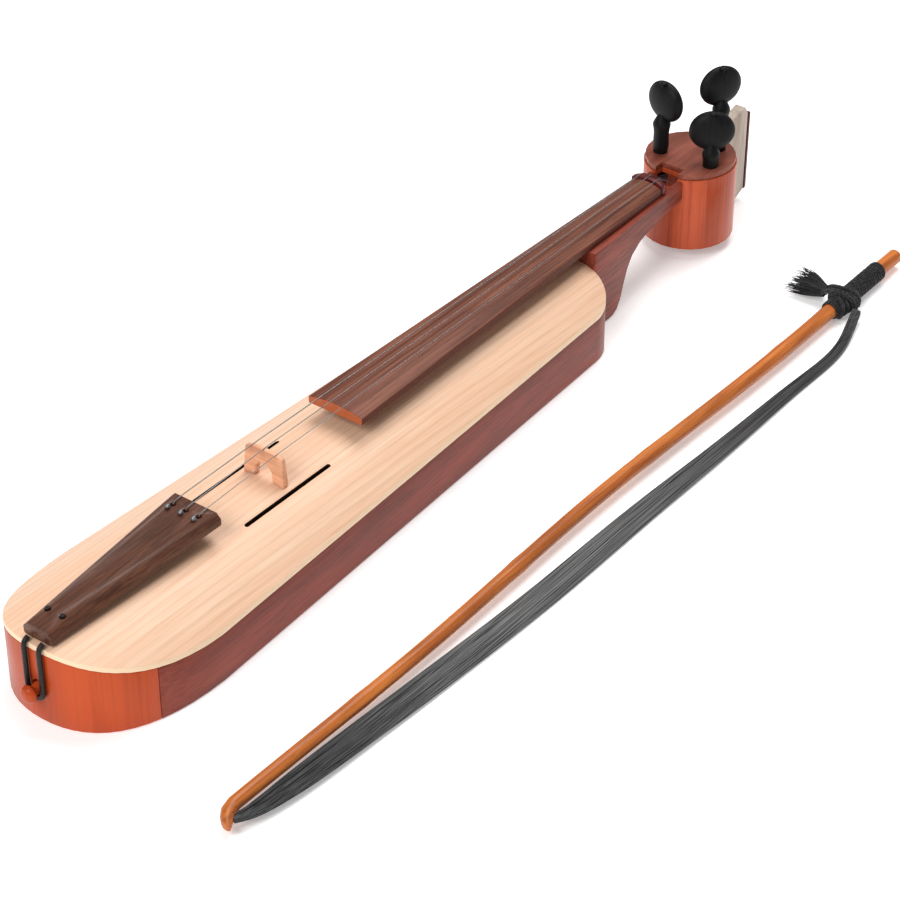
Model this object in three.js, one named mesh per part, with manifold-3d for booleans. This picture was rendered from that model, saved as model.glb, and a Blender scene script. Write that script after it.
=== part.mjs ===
// Three-string box fiddle with its bow. Millimetres, +Z up, tail at Y = 0, head towards +Y.
import * as THREE from "three";
import { mergeVertices } from "three/addons/utils/BufferGeometryUtils.js";
import Module from "manifold-3d";

// ---- driving sizes -------------------------------------------------------------------------
const SEAM = 0.3;            // gap left where two pieces are glued or rest on each other
const PEG_CLEARANCE = 0.15;  // radial gap between a peg and its hole

const BODY_LENGTH = 415;
const TAIL_WIDTH = 97.5;
const SHOULDER_WIDTH = 68;
const TAIL_ROUND = 71;       // length over which the tail corners curve in
const SHOULDER_ROUND = 22;   // radius of the shoulder corners
const EDGE_HEIGHT = 30;        // top of the soundboard at its edge
const SOUNDBOARD_ARCH = 13.1; // rise of the soundboard's middle above its edge
const BACK_FLAT = 0.41;        // half width of the flat strip the fiddle lies on
const BACK_RISE = 0.4;         // rise of the back at the widest edge
const PLATE = 3;
const RIB = 4;
const TAIL_RIB_LENGTH = 33;  // how far the tail rib wraps up the sides

const SLOT_START = 126.5;
const SLOT_LENGTH = 61;
const SLOT_OFFSET = 16.3;
const SLOT_WIDTH = 2.2;

const BRIDGE_Y = 160;
const BRIDGE_WIDTH = 25;
const BRIDGE_HEIGHT = 16.4;
const BRIDGE_FOOT = 5;       // thickness along Y at the feet
const BRIDGE_CREST = 2.4;    // thickness along Y at the top

const BOARD_START = 213;
const BOARD_OVER = 73;       // how far it runs on past the body, to the nut
const BOARD_WIDE = 34;
const BOARD_NARROW = 20;
const BOARD_LIFT = 7.5;      // gap between the soundboard's crown and the fingerboard
const BOARD_EDGE = 4;        // thickness at the fingerboard's edge
const BOARD_ARCH = 2.4;

const NUT_THICK = 4;
const NUT_RISE = 1.6;        // nut above the fingerboard's crown

const NECK_WIDE = 32;
const NECK_NARROW = 21;
const NECK_THICK = 14;       // at its thinnest

const HEAD_RADIUS = 26.5;
const HEAD_NOSE = 12.5;        // from the nut to the round head
const HEAD_DEPTH = 44.5;
const HEAD_LIFT = 0.4;        // top of the hollow box above the fingerboard's underside
const HEAD_WALL = 3;
const FACE_THICK = 3;
const THROAT_WIDTH = 15;
const THROAT_LENGTH = 21;
const THROAT_DEPTH = 7;       // floor of the string channel below the head's top

const PEG_SHAFT = 3.9;       // radius
const PEG_LENGTH_IN = 30;    // below the head's face
const PEG_NECK = 19;         // from the face to the thumb piece
const PEG_THUMB_HALF = 13;
const PEG_THUMB_TALL = 24;
const PEG_THUMB_THICK = 5.5; // half thickness
const PEG_CAP = 2.4;
const PEG_RISES = [0, 8, -10]; // how much farther out or in each peg is pushed
const PEG_SIDE = 0.66;       // pegs stand this share of the head's radius from its middle
const PEG_PLACES = [208, 56, -17]; // their places round the head, in degrees
const PEG_TURNS = [-14, 62, 37];   // how far each thumb piece is turned
const WINDING = 0.9;

const TAILPIECE_START = 3;
const TAILPIECE_END = 110;
const TAILPIECE_NARROW = 17;
const TAILPIECE_WIDE = 31;
const TAILPIECE_THICK = 7;

const STRING_RADIUS = 0.45;
const STRING_TAIL_PITCH = 8;
const STRING_BRIDGE_PITCH = 7.4;
const STRING_NUT_PITCH = 5.4;
const STRING_NAMES = ["low", "middle", "high"];
const GUT_RADIUS = 1.3;

const BUTTON_SHARE = 0.66;    // height of the end button, as a share of the edge's height
const BUTTON_RADIUS = 4.6;

const BOW_X = 111;
const BOW_TIP_Y = -7;
const BOW_LENGTH = 585;
const BOW_TIP_RADIUS = 3.5;
const BOW_BUTT_RADIUS = 4.3;
const WRAP_START = 503;
const WRAP_END = 557;
const WRAP_THICK = 1.4;
const HAIR_THICK = 1.8;

// ---- places that follow from the sizes ------------------------------------------------------
const CROWN = EDGE_HEIGHT + SOUNDBOARD_ARCH;
const BOARD_UNDER = CROWN + BOARD_LIFT;
const BOARD_END = BODY_LENGTH + BOARD_OVER;
const NECK_UNDER = BOARD_UNDER - SEAM - NECK_THICK;
const HEAD_START = BOARD_END + NUT_THICK + 2;
const HEAD_CENTRE = HEAD_START + HEAD_NOSE + HEAD_RADIUS;
const HEAD_TOP = BOARD_UNDER + HEAD_LIFT;
const HEAD_BOTTOM = HEAD_TOP - HEAD_DEPTH;
const THROAT_END = HEAD_START + THROAT_LENGTH;
const PEG_ROOM = HEAD_RADIUS - HEAD_WALL - (PEG_SHAFT + SEAM + WINDING) - 1.2;
const PEG_OFFSET = Math.min(PEG_SIDE * HEAD_RADIUS, PEG_ROOM);
const PEG_SPOTS = PEG_PLACES.map((place) => {
  const angle = THREE.MathUtils.degToRad(place);
  return [PEG_OFFSET * Math.cos(angle), HEAD_CENTRE + PEG_OFFSET * Math.sin(angle)];
});
const BUTTON_Z = EDGE_HEIGHT * BUTTON_SHARE;

// ---- materials -----------------------------------------------------------------------------
const material = (color, roughness, metalness = 0) =>
  new THREE.MeshStandardMaterial({ color, roughness, metalness });
const SPRUCE = material(0xf0d4b4, 0.55);
const RED_VARNISH = material(0x9a5a4b, 0.35);
const ORANGE_VARNISH = material(0xd0602f, 0.3);
const DARK_WOOD = material(0x7a4a3a, 0.45);
const BROWN_WOOD = material(0x5a3a32, 0.4);
const PALE_WOOD = material(0xf0a880, 0.5);
const CREAM_WOOD = material(0xe0d5c8, 0.5);
const BLACK_WOOD = material(0x2c2c2e, 0.35);
const STICK_WOOD = material(0xc8682f, 0.35);
const INNER_WOOD = material(0xd8bc94, 0.7);
const STEEL = material(0xb8bcc0, 0.3, 1);
const GUT = material(0x1c1a1a, 0.5);
const HAIR = material(0x2a2a2c, 0.6);
const CLOTH = material(0x303032, 0.8);

// ---- solid helpers -------------------------------------------------------------------------
const wasm = await Module();
wasm.setup();

/** Turns a three.js geometry into a closed manifold solid. */
function solid(geometry) {
  const plain = geometry.clone();
  plain.deleteAttribute("normal");
  plain.deleteAttribute("uv");
  const welded = mergeVertices(plain, 1e-4);
  return new wasm.Manifold(new wasm.Mesh({
    numProp: 3,
    vertProperties: new Float32Array(welded.attributes.position.array),
    triVerts: new Uint32Array(welded.index.array),
  }));
}

/** Turns a manifold solid back into a three.js geometry. */
function surface(body) {
  const mesh = body.getMesh();
  const geometry = new THREE.BufferGeometry();
  geometry.setAttribute("position", new THREE.BufferAttribute(mesh.vertProperties, 3));
  geometry.setIndex(new THREE.BufferAttribute(mesh.triVerts, 1));
  geometry.computeVertexNormals();
  return geometry;
}

/** Prism over a plan shape in XY, from z0 to z1. */
function planPrism(shape, z0, z1, curveSegments = 14) {
  const geometry = new THREE.ExtrudeGeometry(shape, {
    depth: z1 - z0, bevelEnabled: false, curveSegments,
  });
  geometry.translate(0, 0, z0);
  return solid(geometry);
}

/** Prism over a closed section given as [x, z] points, from y0 to y1. */
function sectionPrism(points, y0, y1) {
  const shape = new THREE.Shape(points.map(([x, z]) => new THREE.Vector2(x, z)));
  const geometry = new THREE.ExtrudeGeometry(shape, { depth: y1 - y0, bevelEnabled: false });
  geometry.rotateX(Math.PI / 2);
  geometry.translate(0, y1, 0);
  return solid(geometry);
}

/** Prism over a closed side profile given as [y, z] points, from x0 to x1. */
function profilePrism(points, x0, x1) {
  const shape = new THREE.Shape(points.map(([y, z]) => new THREE.Vector2(y, z)));
  const geometry = new THREE.ExtrudeGeometry(shape, { depth: x1 - x0, bevelEnabled: false });
  geometry.rotateX(Math.PI / 2);
  geometry.rotateZ(Math.PI / 2);
  geometry.translate(x0, 0, 0);
  return solid(geometry);
}

/** Axis-aligned block between two corners. */
function block(low, high) {
  const size = high.map((value, axis) => value - low[axis]);
  const geometry = new THREE.BoxGeometry(...size);
  geometry.translate(...high.map((value, axis) => (value + low[axis]) / 2));
  return solid(geometry);
}

/** Round bar along Z. */
function bar(x, y, z0, z1, radius, sides = 20) {
  const geometry = new THREE.CylinderGeometry(radius, radius, z1 - z0, sides);
  geometry.rotateX(Math.PI / 2);
  geometry.translate(x, y, (z0 + z1) / 2);
  return solid(geometry);
}

/** Turned body along +Z from [radius, height] points that start and end on the axis. */
function turned(points, sides = 20) {
  const geometry = new THREE.LatheGeometry(points.map(([r, z]) => new THREE.Vector2(r, z)), sides);
  geometry.rotateX(Math.PI / 2);
  return geometry;
}

/** Closed body through rings of points; every ring has the same count and is convex. */
function loft(rings) {
  const count = rings[0].length;
  const positions = rings.flat(2);
  const indices = [];
  for (let ring = 0; ring + 1 < rings.length; ring += 1) {
    for (let corner = 0; corner < count; corner += 1) {
      const next = (corner + 1) % count;
      const a = ring * count + corner;
      const b = ring * count + next;
      const c = (ring + 1) * count + corner;
      const d = (ring + 1) * count + next;
      indices.push(a, b, d, a, d, c);
    }
  }
  const last = (rings.length - 1) * count;
  for (let corner = 1; corner + 1 < count; corner += 1) {
    indices.push(0, corner + 1, corner);
    indices.push(last, last + corner, last + corner + 1);
  }
  const geometry = new THREE.BufferGeometry();
  geometry.setAttribute("position", new THREE.Float32BufferAttribute(positions, 3));
  geometry.setIndex(indices);
  geometry.computeVertexNormals();
  return geometry;
}

/** Sweeps an ellipse along path stations {at, wide, tall}; wide lies level across the path. */
function sweep(stations, sides = 16) {
  const points = stations.map((station) => new THREE.Vector3(...station.at));
  const rings = stations.map((station, index) => {
    const before = points[Math.max(index - 1, 0)];
    const after = points[Math.min(index + 1, points.length - 1)];
    const along = after.clone().sub(before).normalize();
    const across = Math.abs(along.z) > 0.95
      ? new THREE.Vector3(1, 0, 0)
      : new THREE.Vector3().crossVectors(along, new THREE.Vector3(0, 0, 1)).normalize();
    const upward = new THREE.Vector3().crossVectors(across, along).normalize();
    return Array.from({ length: sides }, (_, side) => {
      const angle = (side / sides) * Math.PI * 2;
      return points[index].clone()
        .addScaledVector(across, Math.cos(angle) * station.wide)
        .addScaledVector(upward, -Math.sin(angle) * station.tall)
        .toArray();
    });
  });
  return loft(rings);
}

/** Round tube of one radius along a smooth curve through the points. */
function tube(points, radius, segments, sides = 8) {
  const curve = new THREE.CatmullRomCurve3(points.map((p) => new THREE.Vector3(...p)), false, "centripetal");
  const shape = new THREE.Shape();
  shape.absarc(0, 0, radius, 0, Math.PI * 2);
  return new THREE.ExtrudeGeometry(shape, {
    steps: segments, curveSegments: sides / 2, bevelEnabled: false, extrudePath: curve,
  });
}

// The origin is the middle of the flat strip of the back.
const group = new THREE.Group();
group.position.y = -BODY_LENGTH / 2;

/** Adds one named closed body to the part. */
function add(name, body, finish) {
  const geometry = body instanceof THREE.BufferGeometry ? body : surface(body);
  const mesh = new THREE.Mesh(geometry, finish);
  mesh.name = name;
  group.add(mesh);
}

// ---- body shapes shared by the plates and ribs ----------------------------------------------
/** Body plan, drawn in by the given amount all round. */
function bodyPlan(inset = 0) {
  const tail = TAIL_WIDTH / 2 - inset;
  const shoulder = SHOULDER_WIDTH / 2 - inset;
  const start = inset;
  const end = BODY_LENGTH - inset;
  const corner = SHOULDER_ROUND - inset / 2;
  const shape = new THREE.Shape();
  shape.moveTo(0, start);
  shape.bezierCurveTo(tail * 0.56, start, tail, start + TAIL_ROUND * 0.24, tail, start + TAIL_ROUND);
  shape.lineTo(shoulder, end - corner);
  shape.bezierCurveTo(shoulder - 1, end - corner * 0.4, shoulder - corner * 0.4, end, shoulder - corner, end);
  shape.lineTo(corner - shoulder, end);
  shape.bezierCurveTo(corner * 0.4 - shoulder, end, 1 - shoulder, end - corner * 0.4, -shoulder, end - corner);
  shape.lineTo(-tail, start + TAIL_ROUND);
  shape.bezierCurveTo(-tail, start + TAIL_ROUND * 0.24, -tail * 0.56, start, 0, start);
  return shape;
}

const FAR = TAIL_WIDTH;
const shoulderStart = BODY_LENGTH - SHOULDER_ROUND;
const halfWidthAt = (y) => {
  const share = (y - TAIL_ROUND) / (shoulderStart - TAIL_ROUND);
  return (TAIL_WIDTH + (SHOULDER_WIDTH - TAIL_WIDTH) * share) / 2;
};
const archAt = (u) => EDGE_HEIGHT + SOUNDBOARD_ARCH * (1 - u * u);
const backAt = (u) => {
  const beyond = Math.max(Math.abs(u) - BACK_FLAT, 0) / (1 - BACK_FLAT);
  return BACK_RISE * beyond ** 1.6;
};
const topAt = (x, y) => archAt(x / halfWidthAt(y));
const shares = Array.from({ length: 29 }, (_, step) => (step / 14 - 1) * 1.12);

/**
 * Ruled solid through two upright sections of equal point count, each given as [x, z] points.
 * Both halves of the outline fold along the same diagonals, so stacked layers lie parallel.
 */
function ruled(first, firstY, last, lastY) {
  const count = first.length;
  const positions = [
    ...first.flatMap(([x, z]) => [x, firstY, z]),
    ...last.flatMap(([x, z]) => [x, lastY, z]),
  ];
  const indices = [];
  for (let corner = 0; corner < count; corner += 1) {
    const next = (corner + 1) % count;
    if (corner < count / 2) {
      indices.push(corner, next, count + next, corner, count + next, count + corner);
    } else {
      indices.push(corner, next, count + corner, next, count + next, count + corner);
    }
  }
  const outline = first.map(([x, z]) => new THREE.Vector2(x, z));
  for (const [p, q, r] of THREE.ShapeUtils.triangulateShape(outline, [])) {
    indices.push(p, r, q, count + p, count + q, count + r);
  }
  const geometry = new THREE.BufferGeometry();
  geometry.setAttribute("position", new THREE.Float32BufferAttribute(positions, 3));
  geometry.setIndex(indices);
  const body = solid(geometry);
  if (body.volume() > 0) {
    return body;
  }
  for (let index = 0; index < indices.length; index += 3) {
    [indices[index], indices[index + 1]] = [indices[index + 1], indices[index]];
  }
  geometry.setIndex(indices);
  return solid(geometry);
}

/** Solid between two height curves, over the whole body; both follow the body's taper. */
function layer(lower, upper) {
  const section = (y) => [
    ...shares.map((u) => [u * halfWidthAt(y), lower(u)]),
    ...shares.slice().reverse().map((u) => [u * halfWidthAt(y), upper(u)]),
  ];
  const firstY = -20;
  const lastY = BODY_LENGTH + 20;
  return ruled(section(firstY), firstY, section(lastY), lastY);
}

const insideLayer = layer((u) => backAt(u) + PLATE + SEAM, (u) => archAt(u) - PLATE - SEAM);
const ribLayer = layer(backAt, (u) => archAt(u) - PLATE - SEAM);
const BELOW = -10;
const ABOVE = CROWN + 30;
const fullPlan = planPrism(bodyPlan(), BELOW, ABOVE);

// ---- plates ----------------------------------------------------------------------------------
const slotEnd = SLOT_START + SLOT_LENGTH;
let soundboard = fullPlan.intersect(layer((u) => archAt(u) - PLATE, archAt));
for (const side of [-1, 1]) {
  const middle = side * SLOT_OFFSET;
  const slot = block(
    [middle - SLOT_WIDTH / 2, SLOT_START, PLATE * 2],
    [middle + SLOT_WIDTH / 2, slotEnd, ABOVE],
  );
  soundboard = soundboard
    .subtract(slot)
    .subtract(bar(middle, SLOT_START, PLATE * 2, ABOVE, SLOT_WIDTH / 2, 12))
    .subtract(bar(middle, slotEnd, PLATE * 2, ABOVE, SLOT_WIDTH / 2, 12));
}
add("soundboard", soundboard, SPRUCE);
add("back_plate", planPrism(bodyPlan(RIB + SEAM), BELOW, ABOVE)
  .intersect(layer(backAt, (u) => backAt(u) + PLATE)), RED_VARNISH);

// ---- ribs ------------------------------------------------------------------------------------
const ribRing = fullPlan.subtract(planPrism(bodyPlan(RIB), BELOW - 1, ABOVE + 1)).intersect(ribLayer);
const heelHalf = NECK_WIDE / 2;
const sideStart = TAIL_RIB_LENGTH + SEAM / 2;
const tailHalf = TAIL_RIB_LENGTH - SEAM / 2;
add("tail_rib", ribRing
  .intersect(block([-FAR, -5, BELOW], [FAR, tailHalf, ABOVE]))
  .subtract(profileHole(BUTTON_Z, 3.3)), ORANGE_VARNISH);
add("rib_left", ribRing
  .intersect(block([-FAR, sideStart, BELOW], [-heelHalf - SEAM, BODY_LENGTH + 5, ABOVE])), RED_VARNISH);
add("rib_right", ribRing
  .intersect(block([heelHalf + SEAM, sideStart, BELOW], [FAR, BODY_LENGTH + 5, ABOVE])), RED_VARNISH);

/** Round hole along Y through the tail at the given height. */
function profileHole(z, radius) {
  const geometry = new THREE.CylinderGeometry(radius, radius, 60, 24);
  geometry.translate(0, 0, z);
  return solid(geometry);
}

// ---- inside the body -------------------------------------------------------------------------
add("tail_block", planPrism(bodyPlan(RIB + SEAM), BELOW - 1, ABOVE + 1)
  .intersect(insideLayer)
  .intersect(block([-26, 0, BELOW], [26, 20, ABOVE]))
  .subtract(profileHole(BUTTON_Z, 3.3)), INNER_WOOD);
const liningRing = planPrism(bodyPlan(RIB + SEAM), BELOW - 1, ABOVE + 1)
  .subtract(planPrism(bodyPlan(RIB + SEAM + 3), BELOW - 2, ABOVE + 2))
  .intersect(layer((u) => archAt(u) - PLATE - 7, (u) => archAt(u) - PLATE - SEAM));
add("lining_left", liningRing.intersect(block([-FAR, 60, BELOW], [-20, BODY_LENGTH - 30, ABOVE])), INNER_WOOD);
add("lining_right", liningRing.intersect(block([20, 60, BELOW], [FAR, BODY_LENGTH - 30, ABOVE])), INNER_WOOD);
add("bass_bar", block([-9, 70, BELOW], [-5, BODY_LENGTH - 60, ABOVE])
  .intersect(layer((u) => archAt(u) - PLATE - 6, (u) => archAt(u) - PLATE - SEAM)), INNER_WOOD);
const postX = 8;
add("sound_post", bar(
  postX, BRIDGE_Y + 9, PLATE + SEAM, topAt(postX + 3, BRIDGE_Y) - PLATE - SEAM - 0.1, 3, 20,
), INNER_WOOD);

// ---- neck --------------------------------------------------------------------------------------
const neckTop = BOARD_UNDER - SEAM;
const neckEnd = HEAD_CENTRE - HEAD_RADIUS + 8;
const heelStart = BODY_LENGTH + SEAM;
const tenonTop = topAt(heelHalf, BODY_LENGTH) - PLATE - SEAM;
const neckProfile = [
  [BODY_LENGTH - 22, PLATE + SEAM], [BODY_LENGTH - RIB, PLATE + SEAM], [BODY_LENGTH - RIB, 0.5],
  [heelStart + 20, 0.5], [heelStart + 25, NECK_UNDER * 0.06], [heelStart + 28.5, NECK_UNDER * 0.2],
  [heelStart + 31.5, NECK_UNDER * 0.42], [heelStart + 35, NECK_UNDER * 0.64],
  [heelStart + 40, NECK_UNDER * 0.82], [heelStart + 48, NECK_UNDER * 0.94],
  [heelStart + 58, NECK_UNDER], [neckEnd, NECK_UNDER + 3],
  [neckEnd, neckTop], [heelStart, neckTop], [heelStart, tenonTop], [BODY_LENGTH - 22, tenonTop],
];
const neckPlan = new THREE.Shape([
  new THREE.Vector2(-heelHalf, BODY_LENGTH - 30), new THREE.Vector2(heelHalf, BODY_LENGTH - 30),
  new THREE.Vector2(heelHalf, heelStart + 4), new THREE.Vector2(NECK_NARROW / 2, neckEnd),
  new THREE.Vector2(-NECK_NARROW / 2, neckEnd), new THREE.Vector2(-heelHalf, heelStart + 4),
]);
const throat = block(
  [-THROAT_WIDTH / 2, HEAD_START - 0.2, HEAD_TOP - THROAT_DEPTH],
  [THROAT_WIDTH / 2, THROAT_END, HEAD_TOP + 20],
);
add("neck", profilePrism(neckProfile, -40, 40)
  .intersect(planPrism(neckPlan, BELOW, ABOVE))
  .subtract(bar(0, HEAD_CENTRE, BELOW, ABOVE, HEAD_RADIUS + SEAM, 96))
  .subtract(throat), RED_VARNISH);

// ---- fingerboard and nut -------------------------------------------------------------------------
const boardCrown = BOARD_UNDER + BOARD_EDGE + BOARD_ARCH;
const boardRing = (y, wide) => {
  const half = wide / 2;
  const ring = [[-half, y, BOARD_UNDER], [half, y, BOARD_UNDER]];
  for (let step = 0; step <= 12; step += 1) {
    const x = half - (step / 12) * wide;
    ring.push([x, y, BOARD_UNDER + BOARD_EDGE + BOARD_ARCH * (1 - (x / half) ** 2)]);
  }
  return ring.reverse();
};
add("fingerboard", loft([boardRing(BOARD_START, BOARD_WIDE), boardRing(BOARD_END, BOARD_NARROW)]), DARK_WOOD);

const nutStart = BOARD_END + SEAM;
const nutTop = boardCrown + NUT_RISE;
const nutHalf = BOARD_NARROW / 2 + 0.4;
add("nut", sectionPrism([
  [-nutHalf, BOARD_UNDER], [nutHalf, BOARD_UNDER], [nutHalf, nutTop - 2.4],
  [nutHalf * 0.6, nutTop - 0.6], [0, nutTop], [-nutHalf * 0.6, nutTop - 0.6], [-nutHalf, nutTop - 2.4],
], nutStart, nutStart + NUT_THICK), ORANGE_VARNISH);

// ---- head ------------------------------------------------------------------------------------------
/** Round plan of the head. */
function headPlan(inset = 0) {
  const shape = new THREE.Shape();
  shape.absarc(0, HEAD_CENTRE, HEAD_RADIUS - inset, 0, Math.PI * 2, false);
  return shape;
}

const pegHoles = PEG_SPOTS.map(([x, y]) => (
  bar(x, y, HEAD_TOP - 20, HEAD_TOP + 20, PEG_SHAFT + PEG_CLEARANCE)
));
const drilled = (body) => pegHoles.reduce((rest, hole) => rest.subtract(hole), body);
add("head_box", drilled(planPrism(headPlan(), HEAD_BOTTOM, HEAD_TOP)
  .subtract(planPrism(headPlan(HEAD_WALL), HEAD_BOTTOM - 5, HEAD_TOP - HEAD_WALL))
  .subtract(throat)), ORANGE_VARNISH);
const faceBottom = HEAD_TOP + SEAM;
const faceTop = faceBottom + FACE_THICK;
add("head_face", drilled(planPrism(headPlan(0.8), faceBottom, faceTop).subtract(throat)), RED_VARNISH);

const crestStart = HEAD_CENTRE + HEAD_RADIUS + SEAM;
const crestBottom = HEAD_BOTTOM * 0.2;
const crestTop = HEAD_TOP + 11.5;
const crestEnd = crestStart + 28.5;
const crestProfile = (from, to, low) => [
  [from, low], [to - 13, crestBottom], [to, crestBottom + 6],
  [to, crestTop - 5], [to - 3, crestTop], [from, crestTop - 6],
];
add("crest_plate", profilePrism(crestProfile(crestStart, crestEnd, crestBottom), -3.5, 3.5), CREAM_WOOD);
add("crest_rim", profilePrism([
  [crestEnd + SEAM, crestBottom + 5.6], [crestEnd + 2.2, crestBottom + 6.6],
  [crestEnd + 2.2, crestTop - 5], [crestEnd + SEAM, crestTop - 5],
], -3.8, 3.8), DARK_WOOD);

// ---- pegs and windings -------------------------------------------------------------------------------
const windingZ = HEAD_TOP - 12;
PEG_SPOTS.forEach(([x, y], index) => {
  const name = STRING_NAMES[index];
  const rise = PEG_RISES[index];
  const low = faceTop - PEG_LENGTH_IN + rise;
  const neckZ = faceTop + PEG_NECK + rise;
  const shaft = solid(turned([
    [0, low], [PEG_SHAFT - 0.5, low], [PEG_SHAFT, low + 1], [PEG_SHAFT, faceTop + 1],
    [PEG_SHAFT + 0.6, faceTop + 4], [PEG_SHAFT + 0.5, neckZ - 5], [PEG_SHAFT + 1.2, neckZ - 2],
    [PEG_SHAFT + 0.8, neckZ], [PEG_SHAFT - 0.4, neckZ + 3], [0, neckZ + 5],
  ]));
  const thumb = new THREE.SphereGeometry(1, 20, 12);
  thumb.rotateX(Math.PI / 2);
  thumb.scale(PEG_THUMB_HALF, PEG_THUMB_THICK, PEG_THUMB_TALL / 2);
  thumb.translate(0, 0, neckZ + PEG_THUMB_TALL / 2 - 1);
  const body = shaft.add(solid(thumb)).rotate([0, 0, PEG_TURNS[index]]).translate([x, y, 0]);
  add(`peg_${name}`, body, BLACK_WOOD);
  const capZ = neckZ + PEG_THUMB_TALL - 1 + SEAM;
  const cap = turned([
    [0, capZ], [PEG_CAP * 0.8, capZ], [PEG_CAP, capZ + 0.7], [PEG_CAP * 0.7, capZ + 1.5], [0, capZ + 1.8],
  ], 14);
  cap.translate(x, y, 0);
  add(`peg_cap_${name}`, solid(cap), BLACK_WOOD);
  const inner = PEG_SHAFT + SEAM;
  const winding = turned([
    [inner, windingZ - 3], [inner + WINDING * 0.7, windingZ - 3], [inner + WINDING, windingZ - 2],
    [inner + WINDING, windingZ + 2], [inner + WINDING * 0.7, windingZ + 3], [inner, windingZ + 3],
    [inner, windingZ - 3],
  ], 18);
  winding.translate(x, y, 0);
  add(`winding_${name}`, solid(winding), STEEL);
});

// ---- bridge --------------------------------------------------------------------------------------------
const bridgeFootZ = (x) => topAt(x, BRIDGE_Y) + SEAM;
const bridgeTop = CROWN + SEAM + BRIDGE_HEIGHT;
const bridgeHalf = BRIDGE_WIDTH / 2;
const bridgeProfile = [
  [-bridgeHalf, bridgeFootZ(bridgeHalf)], [-bridgeHalf + 7, bridgeFootZ(bridgeHalf - 7)],
  [-bridgeHalf + 7.6, bridgeTop - 11], [-2.5, bridgeTop - 8], [2.5, bridgeTop - 8],
  [bridgeHalf - 7.6, bridgeTop - 11], [bridgeHalf - 7, bridgeFootZ(bridgeHalf - 7)],
  [bridgeHalf, bridgeFootZ(bridgeHalf)], [bridgeHalf - 0.6, bridgeTop - 6],
  [bridgeHalf - 1.2, bridgeTop - 1.6], [bridgeHalf * 0.5, bridgeTop - 0.3], [0, bridgeTop],
  [-bridgeHalf * 0.5, bridgeTop - 0.3], [1.2 - bridgeHalf, bridgeTop - 1.6], [0.6 - bridgeHalf, bridgeTop - 6],
];
add("bridge", sectionPrism(bridgeProfile, BRIDGE_Y - 8, BRIDGE_Y + 8).intersect(profilePrism([
  [BRIDGE_Y - BRIDGE_FOOT / 2, CROWN - 10], [BRIDGE_Y + BRIDGE_FOOT / 2, CROWN - 10],
  [BRIDGE_Y + BRIDGE_CREST / 2, bridgeTop + 2], [BRIDGE_Y - BRIDGE_CREST / 2, bridgeTop + 2],
], -30, 30)), PALE_WOOD);

// ---- tailpiece -------------------------------------------------------------------------------------------
const tailpieceRing = (y, wide, under) => {
  const half = wide / 2;
  const top = under + TAILPIECE_THICK;
  return [
    [-half + 1, y, under], [-half, y, under + 1], [-half, y, top - 2.6], [-half + 2.6, y, top],
    [half - 2.6, y, top], [half, y, top - 2.6], [half, y, under + 1], [half - 1, y, under],
  ];
};
const tailpieceUnder = (y) => {
  const share = (y - TAILPIECE_START) / (TAILPIECE_END - TAILPIECE_START);
  return CROWN + 1.2 + 5.8 * share;
};
let tailpiece = solid(loft([
  tailpieceRing(TAILPIECE_START, TAILPIECE_NARROW, tailpieceUnder(TAILPIECE_START)),
  tailpieceRing(TAILPIECE_END, TAILPIECE_WIDE, tailpieceUnder(TAILPIECE_END)),
]));
const stringHoleY = TAILPIECE_END - 7;
const gutHoleY = 15;
const gutPitch = 4.6;
for (const side of [-1, 0, 1]) {
  tailpiece = tailpiece.subtract(bar(side * STRING_TAIL_PITCH, stringHoleY, CROWN - 10, ABOVE, 1.6, 16));
}
for (const side of [-1, 1]) {
  tailpiece = tailpiece.subtract(bar(side * gutPitch, gutHoleY, CROWN - 10, ABOVE, GUT_RADIUS + SEAM, 16));
}
add("tailpiece", tailpiece, BROWN_WOOD);

// ---- tail gut and end button ---------------------------------------------------------------------------
const gutOver = CROWN + GUT_RADIUS + SEAM;
const gutFace = -GUT_RADIUS - SEAM;
const gutPath = (side) => [
  [side * gutPitch, TAILPIECE_START - GUT_RADIUS - SEAM, gutOver + 0.3],
  [side * gutPitch, gutFace + 0.6, gutOver - 0.4],
  [side * gutPitch, gutFace - 0.2, gutOver - 3],
  [side * gutPitch, gutFace, gutOver - 7],
  [side * (gutPitch + 0.1), gutFace, BUTTON_Z + 8],
];
add("end_button", (() => {
  const geometry = turned([
    [0, -8], [3, -8], [3, 5.2], [2.6, 6.4], [2.6, 8.6], [BUTTON_RADIUS, 9.4],
    [BUTTON_RADIUS, 11.4], [BUTTON_RADIUS - 1.4, 13], [0, 13.4],
  ], 24);
  geometry.rotateX(Math.PI / 2);
  geometry.translate(0, 4.6, BUTTON_Z);
  return solid(geometry);
})(), ORANGE_VARNISH);
const loopRadius = gutPitch + 0.1;
const loop = [];
for (let step = 1; step <= 7; step += 1) {
  const angle = Math.PI - (step / 8) * Math.PI * -1;
  loop.push([Math.cos(angle) * loopRadius, gutFace, BUTTON_Z + Math.sin(angle) * loopRadius]);
}
add("tail_gut", tube([
  ...gutPath(-1), [-loopRadius, gutFace, BUTTON_Z + 2], ...loop, [loopRadius, gutFace, BUTTON_Z + 2],
  ...gutPath(1).reverse(),
], GUT_RADIUS, 48, 8), GUT);
for (const side of [-1, 1]) {
  const name = side < 0 ? "left" : "right";
  const z = tailpieceUnder(gutHoleY);
  add(`gut_end_${name}`, bar(side * gutPitch, gutHoleY, z + 1, z + TAILPIECE_THICK + 1.2, GUT_RADIUS, 16), GUT);
}

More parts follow.
